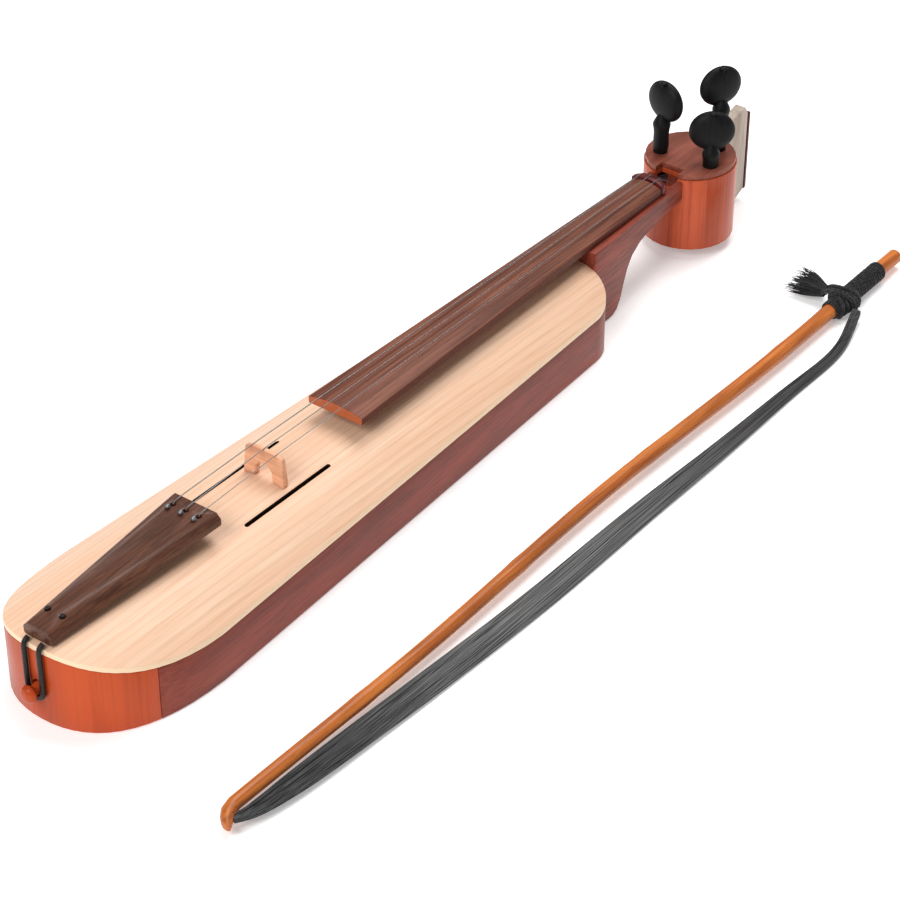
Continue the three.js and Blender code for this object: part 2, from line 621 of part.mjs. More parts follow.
// ---- strings -----------------------------------------------------------------------------------------------
const stringLift = STRING_RADIUS + SEAM;
const bridgeStringZ = (x) => bridgeTop - 1.3 * (Math.abs(x) / bridgeHalf) + stringLift;
STRING_NAMES.forEach((name, index) => {
  const place = index - 1;
  const tailX = place * STRING_TAIL_PITCH;
  const bridgeX = place * STRING_BRIDGE_PITCH;
  const nutX = place * STRING_NUT_PITCH;
  const [pegX, pegY] = PEG_SPOTS[index];
  const tailTop = tailpieceUnder(TAILPIECE_END) + TAILPIECE_THICK;
  const reach = PEG_SHAFT + SEAM + WINDING + SEAM + STRING_RADIUS;
  const stations = [
    [tailX, stringHoleY, tailTop + 0.9], [tailX, TAILPIECE_END + 1, tailTop + 1.2],
    [bridgeX, BRIDGE_Y - 1.5, bridgeStringZ(bridgeX) - 0.05], [bridgeX, BRIDGE_Y + 1.5, bridgeStringZ(bridgeX)],
    [nutX, nutStart, nutTop + stringLift], [nutX, nutStart + NUT_THICK, nutTop + stringLift - 0.1],
    [place * 5.4, HEAD_START + 9, HEAD_TOP + 1.5], [place * 5, THROAT_END - 2.6, HEAD_TOP - 3.4],
    [pegX - place * 1, pegY - reach, windingZ],
  ];
  const rings = stations.map((at) => ({ at, wide: STRING_RADIUS, tall: STRING_RADIUS }));
  add(`string_${name}`, sweep(rings, 8), STEEL);
  const ball = new THREE.SphereGeometry(1.5, 16, 10);
  ball.translate(tailX, stringHoleY - 3.6, tailTop + 0.4);
  add(`string_ball_${name}`, solid(ball).intersect(block(
    [tailX - 3, 0, tailpieceUnder(stringHoleY) + TAILPIECE_THICK + SEAM], [tailX + 3, TAILPIECE_END + 10, ABOVE],
  )), STEEL);
});

// ---- bow ---------------------------------------------------------------------------------------------------
const bowRadiusAt = (y) => {
  const share = (y - BOW_TIP_Y) / BOW_LENGTH;
  return BOW_TIP_RADIUS + (BOW_BUTT_RADIUS - BOW_TIP_RADIUS) * share;
};
const bowHigh = BOW_BUTT_RADIUS + WRAP_THICK + 0.6;
const bowSway = new THREE.CatmullRomCurve3([0, 2.2, -0.8, 2.6, 1.4].map(
  (offset, index) => new THREE.Vector3(offset, index, 0),
));
const bowXAt = (y) => BOW_X + bowSway.getPoint(Math.min(Math.max((y - BOW_TIP_Y) / BOW_LENGTH, 0), 1)).x;
const bowZAt = (y) => bowHigh + 1.5 * Math.sin((Math.PI * (y - BOW_TIP_Y)) / BOW_LENGTH);
const stickStations = [
  { at: [BOW_X + 7, BOW_TIP_Y - 1.2, bowHigh], wide: 2.7, tall: 2.5 },
  { at: [BOW_X + 4.6, BOW_TIP_Y + 1.4, bowHigh], wide: 3.6, tall: 3.4 },
  { at: [BOW_X + 2, BOW_TIP_Y + 5.4, bowHigh], wide: 4, tall: 3.6 },
];
for (let step = 0; step <= 12; step += 1) {
  const y = BOW_TIP_Y + 12 + (step / 12) * (BOW_LENGTH - 12);
  stickStations.push({ at: [bowXAt(y), y, bowZAt(y)], wide: bowRadiusAt(y), tall: bowRadiusAt(y) });
}
add("bow_stick", sweep(stickStations, 18), STICK_WOOD);

const wrapRing = (y, thick) => ({
  at: [bowXAt(y), y, bowZAt(y)], wide: bowRadiusAt(y) + thick, tall: bowRadiusAt(y) + thick,
});
const wrapStations = [wrapRing(WRAP_START, 0.9)];
for (let step = 1; step <= 7; step += 1) {
  wrapStations.push(wrapRing(WRAP_START + (step / 8) * (WRAP_END - WRAP_START), WRAP_THICK + 0.4 * (step % 2)));
}
wrapStations.push(wrapRing(WRAP_END, 0.9));
const wrapCore = [WRAP_START - 4, WRAP_END + 4].map((y) => wrapRing(y, SEAM));
add("handle_wrap", solid(sweep(wrapStations, 18)).subtract(solid(sweep(wrapCore, 18))), CLOTH);

const hairZ = HAIR_THICK / 2 + 0.3;
const hairPoints = [
  [9.6, -1, 5.6, 2, 1.6], [9.6, 7, 5.2, 3.3, 1.3], [10.4, 16, 4.6, 4.6, 1.2], [12, 36, 3.8, 6.2, 1.1],
  [13.4, 76, 2.2, 7.2, 0.9], [15.2, 122, hairZ, 7.8, 0.9], [18, 176, hairZ, 7.5, 0.9], [19.5, 230, hairZ, 7.5, 0.9],
  [19, 293, hairZ, 7, 0.9], [22, 362, hairZ, 5.6, 0.9], [21.5, 430, hairZ, 3.8, 0.9],
  [23.5, 462, hairZ, 3.1, 1], [22, 486, hairZ, 2.8, 1.1], [16, 503, 2.8, 2.6, 1.4], [13, 514, 5, 2.4, 2],
].map(([x, ...rest]) => [BOW_X + x, ...rest]);
const hairSpine = new THREE.CatmullRomCurve3(hairPoints.map(([x, y, z]) => new THREE.Vector3(x, y, z)));
const hairStations = Array.from({ length: 33 }, (_, step) => {
  const share = step / 32;
  const at = hairSpine.getPoint(share).toArray();
  const position = share * (hairPoints.length - 1);
  const low = Math.min(Math.floor(position), hairPoints.length - 2);
  const blend = position - low;
  const mix = (slot) => hairPoints[low][slot] * (1 - blend) + hairPoints[low + 1][slot] * blend;
  return { at, wide: mix(3), tall: Math.min(mix(4), at[2] - 0.1) };
});
add("bow_hair", sweep(hairStations, 12), HAIR);

const knotY = 515;
const knotX = bowXAt(knotY);
const knot = new THREE.SphereGeometry(1, 16, 10);
knot.scale(9.5, 9, 5.2);
knot.translate(knotX, knotY, bowZAt(knotY) + 6.5);
const knotClear = [knotY - 20, knotY + 20].map((y) => ({
  at: [bowXAt(y), y, bowZAt(y)], wide: bowRadiusAt(y) + 2.3, tall: bowRadiusAt(y) + 2.3,
}));
add("hair_knot", solid(knot).subtract(solid(sweep(knotClear, 18))), CLOTH);
add("tassel", sweep([
  { at: [knotX - 10.4, knotY + 1.5, 9], wide: 3.4, tall: 3 },
  { at: [knotX - 16, knotY + 3.5, 8], wide: 5, tall: 4 },
  { at: [knotX - 22, knotY + 5.5, 7], wide: 7.4, tall: 5 },
  { at: [knotX - 29, knotY + 7.5, 6], wide: 10, tall: 5.4 },
  { at: [knotX - 36, knotY + 9, 5], wide: 12, tall: 4.4 },
], 16), CLOTH);

export default group;
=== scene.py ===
"""Three-string box fiddle and its bow: the looks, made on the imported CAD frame."""

import logging
import math
import random
from collections.abc import Sequence
from dataclasses import dataclass
from enum import Enum
from typing import Any

import bpy
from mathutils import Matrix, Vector


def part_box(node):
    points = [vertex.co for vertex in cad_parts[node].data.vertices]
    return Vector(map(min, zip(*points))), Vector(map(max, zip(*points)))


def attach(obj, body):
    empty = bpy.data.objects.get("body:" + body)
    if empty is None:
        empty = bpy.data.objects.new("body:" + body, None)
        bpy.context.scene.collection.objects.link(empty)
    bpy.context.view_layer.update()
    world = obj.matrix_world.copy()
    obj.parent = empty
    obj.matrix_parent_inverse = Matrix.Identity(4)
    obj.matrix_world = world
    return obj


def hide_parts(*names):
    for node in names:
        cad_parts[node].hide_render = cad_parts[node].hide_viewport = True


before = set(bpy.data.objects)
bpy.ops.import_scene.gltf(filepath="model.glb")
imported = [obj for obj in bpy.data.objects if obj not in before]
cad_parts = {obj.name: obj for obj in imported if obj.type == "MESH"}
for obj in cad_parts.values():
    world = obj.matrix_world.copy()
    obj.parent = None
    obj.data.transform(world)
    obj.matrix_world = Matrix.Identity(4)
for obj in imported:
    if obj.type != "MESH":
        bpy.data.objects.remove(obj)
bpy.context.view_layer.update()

LOG = logging.getLogger("fiddle")
MM = 0.001
TAIL_Y = -207.5  # the tail's place on Y in the shared frame, in millimetres


def spot(x: float, y: float, z: float) -> Vector:
    """Turns millimetres counted from the tail into metres in the shared frame."""
    return Vector((x * MM, (y + TAIL_Y) * MM, z * MM))


def linear(code: str) -> tuple[float, float, float, float]:
    """Turns an sRGB hex colour into linear red, green, blue and alpha.

    Args:
        code: Six hex digits, such as "F0D4B4".

    Returns:
        The linear colour, with alpha 1.
    """
    shares = [int(code[place:place + 2], 16) / 255 for place in (0, 2, 4)]
    red, green, blue = (
        share / 12.92 if share <= 0.04045 else ((share + 0.055) / 1.055) ** 2.4 for share in shares
    )
    return red, green, blue, 1.0


# ---- finishes -----------------------------------------------------------------------------------
def add_node(
    tree: bpy.types.NodeTree,
    kind: str,
    settings: dict[str, Any] | None = None,
    inputs: dict[int | str, Any] | None = None,
) -> bpy.types.Node:
    """Adds one node, sets it up and links it.

    Args:
        tree: The node tree that gets the node.
        kind: Blender's type name of the node.
        settings: Properties of the node.
        inputs: Socket names or places, each with a value or with an output to link from.

    Returns:
        The new node.
    """
    node = tree.nodes.new(kind)
    for key, value in (settings or {}).items():
        setattr(node, key, value)
    for key, value in (inputs or {}).items():
        if isinstance(value, bpy.types.NodeSocket):
            tree.links.new(value, node.inputs[key])
        else:
            node.inputs[key].default_value = value
    return node


def ramp(
    tree: bpy.types.NodeTree, factor: bpy.types.NodeSocket, stops: Sequence[tuple[float, str]]
) -> bpy.types.NodeSocket:
    """Adds a colour ramp over a factor.

    Args:
        tree: The node tree that gets the ramp.
        factor: The output that drives the ramp.
        stops: Places from 0 to 1, each with its sRGB hex colour.

    Returns:
        The ramp's colour output.
    """
    node = add_node(tree, "ShaderNodeValToRGB", inputs={"Fac": factor})
    band = node.color_ramp
    while len(band.elements) < len(stops):
        band.elements.new(0.5)
    for element, (place, code) in zip(band.elements, stops):
        element.position = place
        element.color = linear(code)
    return node.outputs["Color"]


class Grain(Enum):
    """Way the fibres of a wooden piece run, with the Object axis they follow."""

    LENGTH = 1
    UPRIGHT = 2
    ACROSS = 0


@dataclass(frozen=True)
class Finish:
    """What every finish shares: a name, and a shader that starts from real values.

    Attributes:
        name: Plain name of the material and of how its surface was made.
        roughness: Roughness of the bare surface.
        ior: Index of refraction.
        metallic: 1 for a bare metal, otherwise 0.
        coat: Share of the surface under a clear coat.
        coat_roughness: Roughness of that coat.
        specular: Strength of the mirror part; 0.5 is the plain dielectric.
    """

    name: str
    roughness: float = 0.5
    ior: float = 1.5
    metallic: float = 0.0
    coat: float = 0.0
    coat_roughness: float = 0.15
    specular: float = 0.5

    def start(self) -> tuple[bpy.types.Material, bpy.types.Node]:
        """Makes the material with its shader and output.

        Returns:
            The material and its shader node.
        """
        material = bpy.data.materials.new(self.name)
        material.use_nodes = True
        tree = material.node_tree
        tree.nodes.clear()
        shader = add_node(tree, "ShaderNodeBsdfPrincipled", inputs={
            "Roughness": self.roughness, "IOR": self.ior, "Metallic": self.metallic,
            "Coat Weight": self.coat, "Coat Roughness": self.coat_roughness,
            "Specular IOR Level": self.specular,
        })
        add_node(tree, "ShaderNodeOutputMaterial", inputs={"Surface": shader.outputs["BSDF"]})
        return material, shader

    def make(self) -> bpy.types.Material:
        """Makes the finished material."""
        return self.start()[0]


def mapped(tree: bpy.types.NodeTree, sizes: Sequence[float]) -> bpy.types.NodeSocket:
    """Scales Object coordinates so that one unit is a real size.

    Args:
        tree: The node tree that gets the nodes.
        sizes: Real size of one unit along X, Y and Z, in millimetres.

    Returns:
        The scaled vector output.
    """
    coordinates = add_node(tree, "ShaderNodeTexCoord")
    scale = tuple(1 / (size * MM) for size in sizes)
    mapping = add_node(tree, "ShaderNodeMapping", inputs={
        "Vector": coordinates.outputs["Object"], "Scale": scale,
    })
    return mapping.outputs["Vector"]


def facing(tree: bpy.types.NodeTree, way: Sequence[float], low: float, high: float) -> bpy.types.NodeSocket:
    """Picks out the faces that look one way.

    Args:
        tree: The node tree that gets the nodes.
        way: The direction looked for, in the object's own axes.
        low: Cosine at which the pick starts.
        high: Cosine at which it is full.

    Returns:
        An output from 0 to 1.
    """
    normal = add_node(tree, "ShaderNodeNewGeometry").outputs["Normal"]
    dot = add_node(tree, "ShaderNodeVectorMath", {"operation": "DOT_PRODUCT"}, {0: normal, 1: way})
    pick = add_node(tree, "ShaderNodeMapRange", {"interpolation_type": "SMOOTHSTEP"}, {
        "Value": dot.outputs["Value"], "From Min": low, "From Max": high,
    })
    return pick.outputs["Result"]


@dataclass(frozen=True)
class Wood(Finish):
    """Planed and finished wood: pores and growth lines that run with the fibres.

    Attributes:
        light: Colour between the growth lines.
        dark: Colour of the growth lines.
        pore: Colour of the open pores.
        grain: Way the fibres run.
        line: Distance between growth lines, in millimetres.
        figure: Size of the broad, slow colour changes, in millimetres.
        contrast: Share of the dark colour at a growth line.
        end: Colour of the sawn end at the tail side: its end grain, painted brighter as a painted highlight
            where it faces the light, or nothing.
        side: Colour of the two upright sides, painted darker as painted shade, or nothing.
        bump: Depth of the grain under the finish, in millimetres.
    """

    light: str = "9A5A4B"
    dark: str = "6E3A2E"
    pore: str = "4A221A"
    grain: Grain = Grain.LENGTH
    line: float = 1.6
    figure: float = 14.0
    contrast: float = 0.55
    end: str = ""
    side: str = ""
    bump: float = 0.05

    def sizes(self, across: float, along: float) -> list[float]:
        """Gives the sizes of one pattern unit, longest with the fibres."""
        return [along if axis == self.grain.value else across for axis in range(3)]

    def make(self) -> bpy.types.Material:
        """Makes the wood from slow figure, growth lines and pores.

        Returns:
            The material.
        """
        material, shader = self.start()
        tree = material.node_tree
        figure = add_node(tree, "ShaderNodeTexNoise", inputs={
            "Vector": mapped(tree, self.sizes(self.figure, self.figure * 7)), "Scale": 1.0,
            "Detail": 3.0, "Roughness": 0.5,
        }).outputs["Fac"]
        lines = add_node(tree, "ShaderNodeTexNoise", inputs={
            "Vector": mapped(tree, self.sizes(self.line, self.line * 60)), "Scale": 1.0,
            "Detail": 2.0, "Roughness": 0.6, "Distortion": 0.15,
        }).outputs["Fac"]
        pores = add_node(tree, "ShaderNodeTexNoise", inputs={
            "Vector": mapped(tree, self.sizes(0.5, 9.0)), "Scale": 1.0, "Detail": 1.0,
        }).outputs["Fac"]
        wood = ramp(tree, lines, ((0.3, self.dark), (0.3 + 0.3 * self.contrast + 0.1, self.light)))
        slow = ramp(tree, figure, ((0.3, "B8A8A0"), (0.62, "FFFFFF")))
        tinted = add_node(tree, "ShaderNodeMix", {"data_type": "RGBA", "blend_type": "MULTIPLY"}, {
            0: 0.75, 6: wood, 7: slow,
        }).outputs[2]
        pitted = add_node(tree, "ShaderNodeMapRange", inputs={
            "Value": pores, "From Min": 0.66, "From Max": 0.74, "To Max": 0.6,
        }).outputs["Result"]
        colour = add_node(tree, "ShaderNodeMix", {"data_type": "RGBA"}, {
            0: pitted, 6: tinted, 7: linear(self.pore),
        }).outputs[2]
        # Painted shade: faces that look along X take the darker side colour.
        if self.side:
            for way in ((1, 0, 0), (-1, 0, 0)):
                colour = add_node(tree, "ShaderNodeMix", {"data_type": "RGBA"}, {
                    0: facing(tree, way, 0.75, 0.92), 6: colour, 7: linear(self.side),
                }).outputs[2]
        # Painted highlight: faces that look towards the tail take the brighter end colour.
        if self.end:
            colour = add_node(tree, "ShaderNodeMix", {"data_type": "RGBA"}, {
                0: facing(tree, (0, -1, 0), 0.8, 0.95), 6: colour, 7: linear(self.end),
            }).outputs[2]
        tree.links.new(colour, shader.inputs["Base Color"])
        rough = add_node(tree, "ShaderNodeMapRange", inputs={
            "Value": figure, "To Min": self.roughness - 0.06, "To Max": self.roughness + 0.08,
        }).outputs["Result"]
        tree.links.new(rough, shader.inputs["Roughness"])
        bump = add_node(tree, "ShaderNodeBump", inputs={
            "Strength": 0.35, "Distance": self.bump * MM, "Height": lines,
        }).outputs["Normal"]
        tree.links.new(bump, shader.inputs["Normal"])
        return material


@dataclass(frozen=True)
class Spruce(Finish):
    """Quarter-sawn spruce under a thin satin varnish: straight, close, pale lines.

    Attributes:
        light: Colour of the spring wood.
        dark: Colour of the autumn lines.
        warm: Warmer tint of the broad bands.
        edge: Colour of the cut edge of the plate, painted paler as its edge highlight.
        line: Distance between the autumn lines, in millimetres.
    """

    light: str = "F3CEB1"
    dark: str = "D9AF88"
    warm: str = "F0C5A6"
    edge: str = "F4D6B2"
    line: float = 2.1

    def make(self) -> bpy.types.Material:
        """Makes the spruce from autumn lines, broad bands and fine fibres.

        Returns:
            The material.
        """
        material, shader = self.start()
        tree = material.node_tree
        # Real lines stand about 1 mm apart; they are drawn twice as wide so that they show.
        lines = add_node(tree, "ShaderNodeTexWave", {"bands_direction": "X"}, {
            "Vector": mapped(tree, (self.line * math.tau, 400.0, 400.0)), "Scale": 1.0,
            "Distortion": 1.4, "Detail": 2.0, "Detail Scale": 0.6,
        }).outputs["Fac"]
        band = add_node(tree, "ShaderNodeTexNoise", inputs={
            "Vector": mapped(tree, (7.0, 260.0, 60.0)), "Scale": 1.0, "Detail": 2.0,
        }).outputs["Fac"]
        fibre = add_node(tree, "ShaderNodeTexNoise", inputs={
            "Vector": mapped(tree, (0.6, 30.0, 4.0)), "Scale": 1.0, "Detail": 2.0,
        }).outputs["Fac"]
        ground = ramp(tree, band, ((0.32, self.light), (0.5, self.warm), (0.7, self.light)))
        share = add_node(tree, "ShaderNodeMapRange", inputs={
            "Value": lines, "From Min": 0.55, "From Max": 1.0, "To Max": 0.3,
        }).outputs["Result"]
        lined = add_node(tree, "ShaderNodeMix", {"data_type": "RGBA"}, {
            0: share, 6: ground, 7: linear(self.dark),
        }).outputs[2]
        fine = ramp(tree, fibre, ((0.3, "EDE2D4"), (0.6, "FFFFFF")))
        colour = add_node(tree, "ShaderNodeMix", {"data_type": "RGBA", "blend_type": "MULTIPLY"}, {
            0: 0.5, 6: lined, 7: fine,
        }).outputs[2]
        # Painted highlight: faces that do not look up, the plate's cut edge, take the paler edge colour in
        # place of the grain.
        upward = facing(tree, (0, 0, 1), 0.3, 0.75)
        whole = add_node(tree, "ShaderNodeMix", {"data_type": "RGBA"}, {
            0: upward, 6: linear(self.edge), 7: colour,
        }).outputs[2]
        tree.links.new(whole, shader.inputs["Base Color"])
        bump = add_node(tree, "ShaderNodeBump", inputs={
            "Strength": 0.25, "Distance": 0.04 * MM, "Height": lines,
        }).outputs["Normal"]
        tree.links.new(bump, shader.inputs["Normal"])
        return material


@dataclass(frozen=True)
class Speckled(Finish):
    """Even material with a fine uneven surface, such as steel, moulded nylon or paper.

    Attributes:
        light: Lighter colour.
        dark: Darker colour.
        grit: Size of the unevenness, in millimetres.
        bump: Its depth, in millimetres.
        glow: Strength of its own light, for a paper floor lit from below.
    """

    light: str = "B8BCC0"
    dark: str = "909498"
    grit: float = 1.0
    bump: float = 0.02
    glow: float = 0.0

    def make(self) -> bpy.types.Material:
        """Makes the material from one noise for colour, roughness and bump.

        Returns:
            The material.
        """
        material, shader = self.start()
        shader.inputs["Emission Color"].default_value = linear(self.light)
        shader.inputs["Emission Strength"].default_value = self.glow
        tree = material.node_tree
        grit = add_node(tree, "ShaderNodeTexNoise", inputs={
            "Vector": mapped(tree, (self.grit,) * 3), "Scale": 1.0, "Detail": 3.0,
        }).outputs["Fac"]
        tree.links.new(ramp(tree, grit, ((0.35, self.dark), (0.65, self.light))), shader.inputs["Base Color"])
        rough = add_node(tree, "ShaderNodeMapRange", inputs={
            "Value": grit, "To Min": self.roughness - 0.05, "To Max": self.roughness + 0.1,
        }).outputs["Result"]
        tree.links.new(rough, shader.inputs["Roughness"])
        bump = add_node(tree, "ShaderNodeBump", inputs={
            "Strength": 0.3, "Distance": self.bump * MM, "Height": grit,
        }).outputs["Normal"]
        tree.links.new(bump, shader.inputs["Normal"])
        return material


@dataclass(frozen=True)
class Fibres(Finish):
    """Bundle of long fibres, such as horsehair or cotton tape, streaked along the bow.

    Attributes:
        light: Colour of the fibres that catch the light.
        dark: Colour between them.
        across: Width of a bundle, in millimetres.
        along: Length over which a bundle stays the same, in millimetres.
        sheen: Strength of the soft sheen of loose fibres.
        painted_sheen: Colour of a painted sheen on the middle of the bow's hair, where it lies flattest, or
            nothing.
        sheen_rise: Where the painted sheen starts and is full, in metres on Y.
        sheen_fall: Where it starts to thin out and has gone, in metres on Y.
    """

    light: str = "5A5C5E"
    dark: str = "1C1C1E"
    across: float = 0.5
    along: float = 60.0
    sheen: float = 0.3
    painted_sheen: str = ""
    sheen_rise: tuple[float, float] = (-0.17, -0.02)
    sheen_fall: tuple[float, float] = (0.05, 0.24)

    def with_painted_sheen(
        self, tree: bpy.types.NodeTree, colour: bpy.types.NodeSocket, streaks: bpy.types.NodeSocket
    ) -> bpy.types.NodeSocket:
        """Paints a lighter sheen on the middle of the hair, along its streaks: a painted highlight.

        Args:
            tree: The node tree that gets the nodes.
            colour: The clean hair's colour.
            streaks: The hair's streaks.

        Returns:
            The dusted colour.
        """
        coordinates = add_node(tree, "ShaderNodeTexCoord").outputs["Object"]
        along = add_node(tree, "ShaderNodeSeparateXYZ", inputs={0: coordinates}).outputs["Y"]
        rise = add_node(tree, "ShaderNodeMapRange", {"interpolation_type": "SMOOTHSTEP"}, {
            "Value": along, "From Min": self.sheen_rise[0], "From Max": self.sheen_rise[1],
        }).outputs["Result"]
        fall = add_node(tree, "ShaderNodeMapRange", {"interpolation_type": "SMOOTHSTEP"}, {
            "Value": along, "From Min": self.sheen_fall[0], "From Max": self.sheen_fall[1],
            "To Min": 1.0, "To Max": 0.0,
        }).outputs["Result"]
        middle = add_node(tree, "ShaderNodeMath", {"operation": "MULTIPLY"}, {0: rise, 1: fall}).outputs[0]
        streaked = add_node(tree, "ShaderNodeMapRange", inputs={
            "Value": streaks, "From Min": 0.35, "From Max": 0.7, "To Min": 0.06, "To Max": 0.42,
        }).outputs["Result"]
        share = add_node(tree, "ShaderNodeMath", {"operation": "MULTIPLY"}, {0: middle, 1: streaked}).outputs[0]
        return add_node(tree, "ShaderNodeMix", {"data_type": "RGBA"}, {
            0: share, 6: colour, 7: linear(self.painted_sheen),
        }).outputs[2]

    def make(self) -> bpy.types.Material:
        """Makes the fibres from streaks of two widths.

        Returns:
            The material.
        """
        material, shader = self.start()
        shader.inputs["Sheen Weight"].default_value = self.sheen
        tree = material.node_tree
        streaks = add_node(tree, "ShaderNodeTexNoise", inputs={
            "Vector": mapped(tree, (self.across, self.along, self.across)), "Scale": 1.0, "Detail": 3.0,
        }).outputs["Fac"]
        colour = ramp(tree, streaks, ((0.4, self.dark), (0.72, self.light)))
        # Painted sheen: the middle of the hair is mixed towards a lighter grey.
        if self.painted_sheen:
            colour = self.with_painted_sheen(tree, colour, streaks)
        tree.links.new(colour, shader.inputs["Base Color"])
        bump = add_node(tree, "ShaderNodeBump", inputs={
            "Strength": 0.5, "Distance": 0.2 * MM, "Height": streaks,
        }).outputs["Normal"]
        tree.links.new(bump, shader.inputs["Normal"])
        return material


# Varnish, oil and bare wood all stay near the IOR of 1.5. Over the white floor a full mirror part
# would grey the deep colours, so the dark woods have less of it.
# Satin varnish on spruce: pale, with soft straight lines and hardly any gloss.
SPRUCE = Spruce("satin varnished spruce", roughness=0.5, coat=0.08, coat_roughness=0.3, specular=0.35)
# Painted shade on a sawn slot wall: dull dark brown, so that a slot reads as a thin dark line.
SLOT_SHADE = Speckled(
    "slot wall in painted shade", roughness=0.8, light="3A2418", dark="24160E", grit=0.6, specular=0.1,
)
# Thin clear varnish on red-brown wood: a soft shine over fine growth lines.
RED_SIDE = Wood(
    "red-brown varnished walnut", roughness=0.4, coat=0.1, coat_roughness=0.14, specular=0.16,
    light="96422F", dark="7E3324", pore="5A241A", line=1.3, figure=16.0, contrast=0.7,
)
RED_NECK = Wood(
    "dark red varnished neck wood", roughness=0.4, coat=0.1, coat_roughness=0.14, specular=0.16,
    light="9A4836", dark="6E2C1E", pore="4A1C14", line=1.3, figure=12.0, contrast=0.7,
)
# The same varnish, browner and with a softer shine.
FACE_WOOD = Wood(
    "brown varnished head face", roughness=0.42, coat=0.1, coat_roughness=0.2, specular=0.2,
    light="9E5846", dark="864636", pore="5E2A20", line=1.1, figure=9.0,
)
# The red-brown stain of the sides as a lit copy: painted lighter and more orange, as painted light, on the tail
# rib, end button and head box, which face the light; it hides most of the grain.
LIT_RIB_VARNISH = Wood(
    "tail rib stain painted lit", roughness=0.36, coat=0.16, coat_roughness=0.12, specular=0.16,
    grain=Grain.UPRIGHT, light="C64E1E", dark="B84618", pore="A8421C", line=2.4, figure=26.0, contrast=0.3,
)
# Painted light: the head box's lit copy of the same stain, lighter and more orange than the head face.
LIT_HEAD_VARNISH = Wood(
    "head stain painted lit", roughness=0.36, coat=0.16, coat_roughness=0.12, specular=0.16,
    grain=Grain.UPRIGHT, light="CA5A35", dark="B44A2A", pore="983C20", line=2.0, figure=18.0, contrast=0.3,
)
# Oil on open-pored wood: dark streaks, no clear coat, a sawn end painted brighter as a painted highlight, and
# sides painted darker as painted shade.
BOARD_WOOD = Wood(
    "oiled walnut fingerboard", roughness=0.48, specular=0.2,
    light="905A46", dark="603628", pore="381C12", line=1.5, figure=10.0, contrast=0.8,
    end="B4603A", side="5A2C1E",
)
# Polished dense wood: dark, streaked and softly shiny.
TAILPIECE_WOOD = Wood(
    "polished dark rosewood", roughness=0.38, coat=0.15, coat_roughness=0.15, specular=0.2,
    light="6E4634", dark="4A2C20", pore="2A1610", line=1.2, figure=8.0, contrast=0.8,
)
# Bare wood: pale and dull, with fine close grain.
BRIDGE_WOOD = Wood(
    "bare maple bridge", roughness=0.55, specular=0.3, light="FFC49E", dark="F0AC84", pore="D49068",
    grain=Grain.ACROSS, line=0.9, figure=6.0,
)
CREST_WOOD = Wood(
    "bare pale crest wood", roughness=0.55, specular=0.3, light="CFC1B3", dark="B8A595", pore="A08878",
    grain=Grain.UPRIGHT, line=1.0, figure=8.0,
)
RIM_WOOD = Wood(
    "dark red rim strip", roughness=0.42, coat=0.1, specular=0.2, light="6E2420", dark="4C1412",
    pore="300A08", grain=Grain.UPRIGHT,
)
# Stained black, with hardly any grain to see and no clear coat.
BLACK_WOOD = Wood(
    "blackened pearwood pegs", roughness=0.5, specular=0.16, grain=Grain.UPRIGHT,
    light="18181A", dark="0E0E10", pore="0C0C0E", line=1.0, figure=6.0, contrast=0.9,
)
INNER_WOOD = Wood(
    "raw inner spruce", roughness=0.7, light="DCC29C", dark="C4A67C", pore="A08458", line=1.4,
)
# A peeled and varnished branch: warm, streaked and softly shiny.
STICK_WOOD = Wood(
    "varnished hazel bow stick", roughness=0.4, coat=0.15, coat_roughness=0.15, specular=0.2,
    light="DA8038", dark="B25C26", pore="7E3E18", line=1.4, figure=9.0, contrast=0.7,
)
# Drawn wire: grey, with a dull metal shine.
STEEL = Speckled(
    "drawn steel string", roughness=0.42, metallic=1.0, light="9A9C9E", dark="76787A", grit=0.8,
)
GUT = Speckled(
    "black nylon tail gut", roughness=0.42, ior=1.53, light="262422", dark="141210", grit=0.9, bump=0.05,
    specular=0.25,
)
# Hair, tape and cut ends: black and streaked, the hair painted lighter grey in its middle as a painted sheen.
HORSEHAIR = Fibres(
    "black horsehair", roughness=0.45, specular=0.3, sheen=0.1, light="48494B", dark="17181A",
    across=0.7, along=70.0, painted_sheen="A8A8A6",
)
COTTON = Fibres(
    "black cotton tape", roughness=0.75, specular=0.15, sheen=0.1, light="3E3E40", dark="1C1C1E",
    across=1.1, along=2.0,
)
TASSEL_HAIR = Fibres(
    "cut hair ends", roughness=0.55, specular=0.2, sheen=0.1, light="2E3032", dark="101012",
    across=8.0, along=0.7,
)
FLOOR_PAPER = Speckled(
    "white studio paper", roughness=0.9, light="FFFFFF", dark="FBFBFB", grit=40.0, bump=0.0, glow=0.3,
)


# ---- bench --------------------------------------------------------------------------------------
@dataclass(frozen=True)
class Ring:
    """One cross-section of a drawn-out piece, in millimetres from the tail.

    Attributes:
        x: Middle of the section on X.
        y: Its place along the piece.
        z: Middle of the section on Z.
        wide: Half its width.
        tall: Half its height.
    """

    x: float
    y: float
    z: float
    wide: float
    tall: float


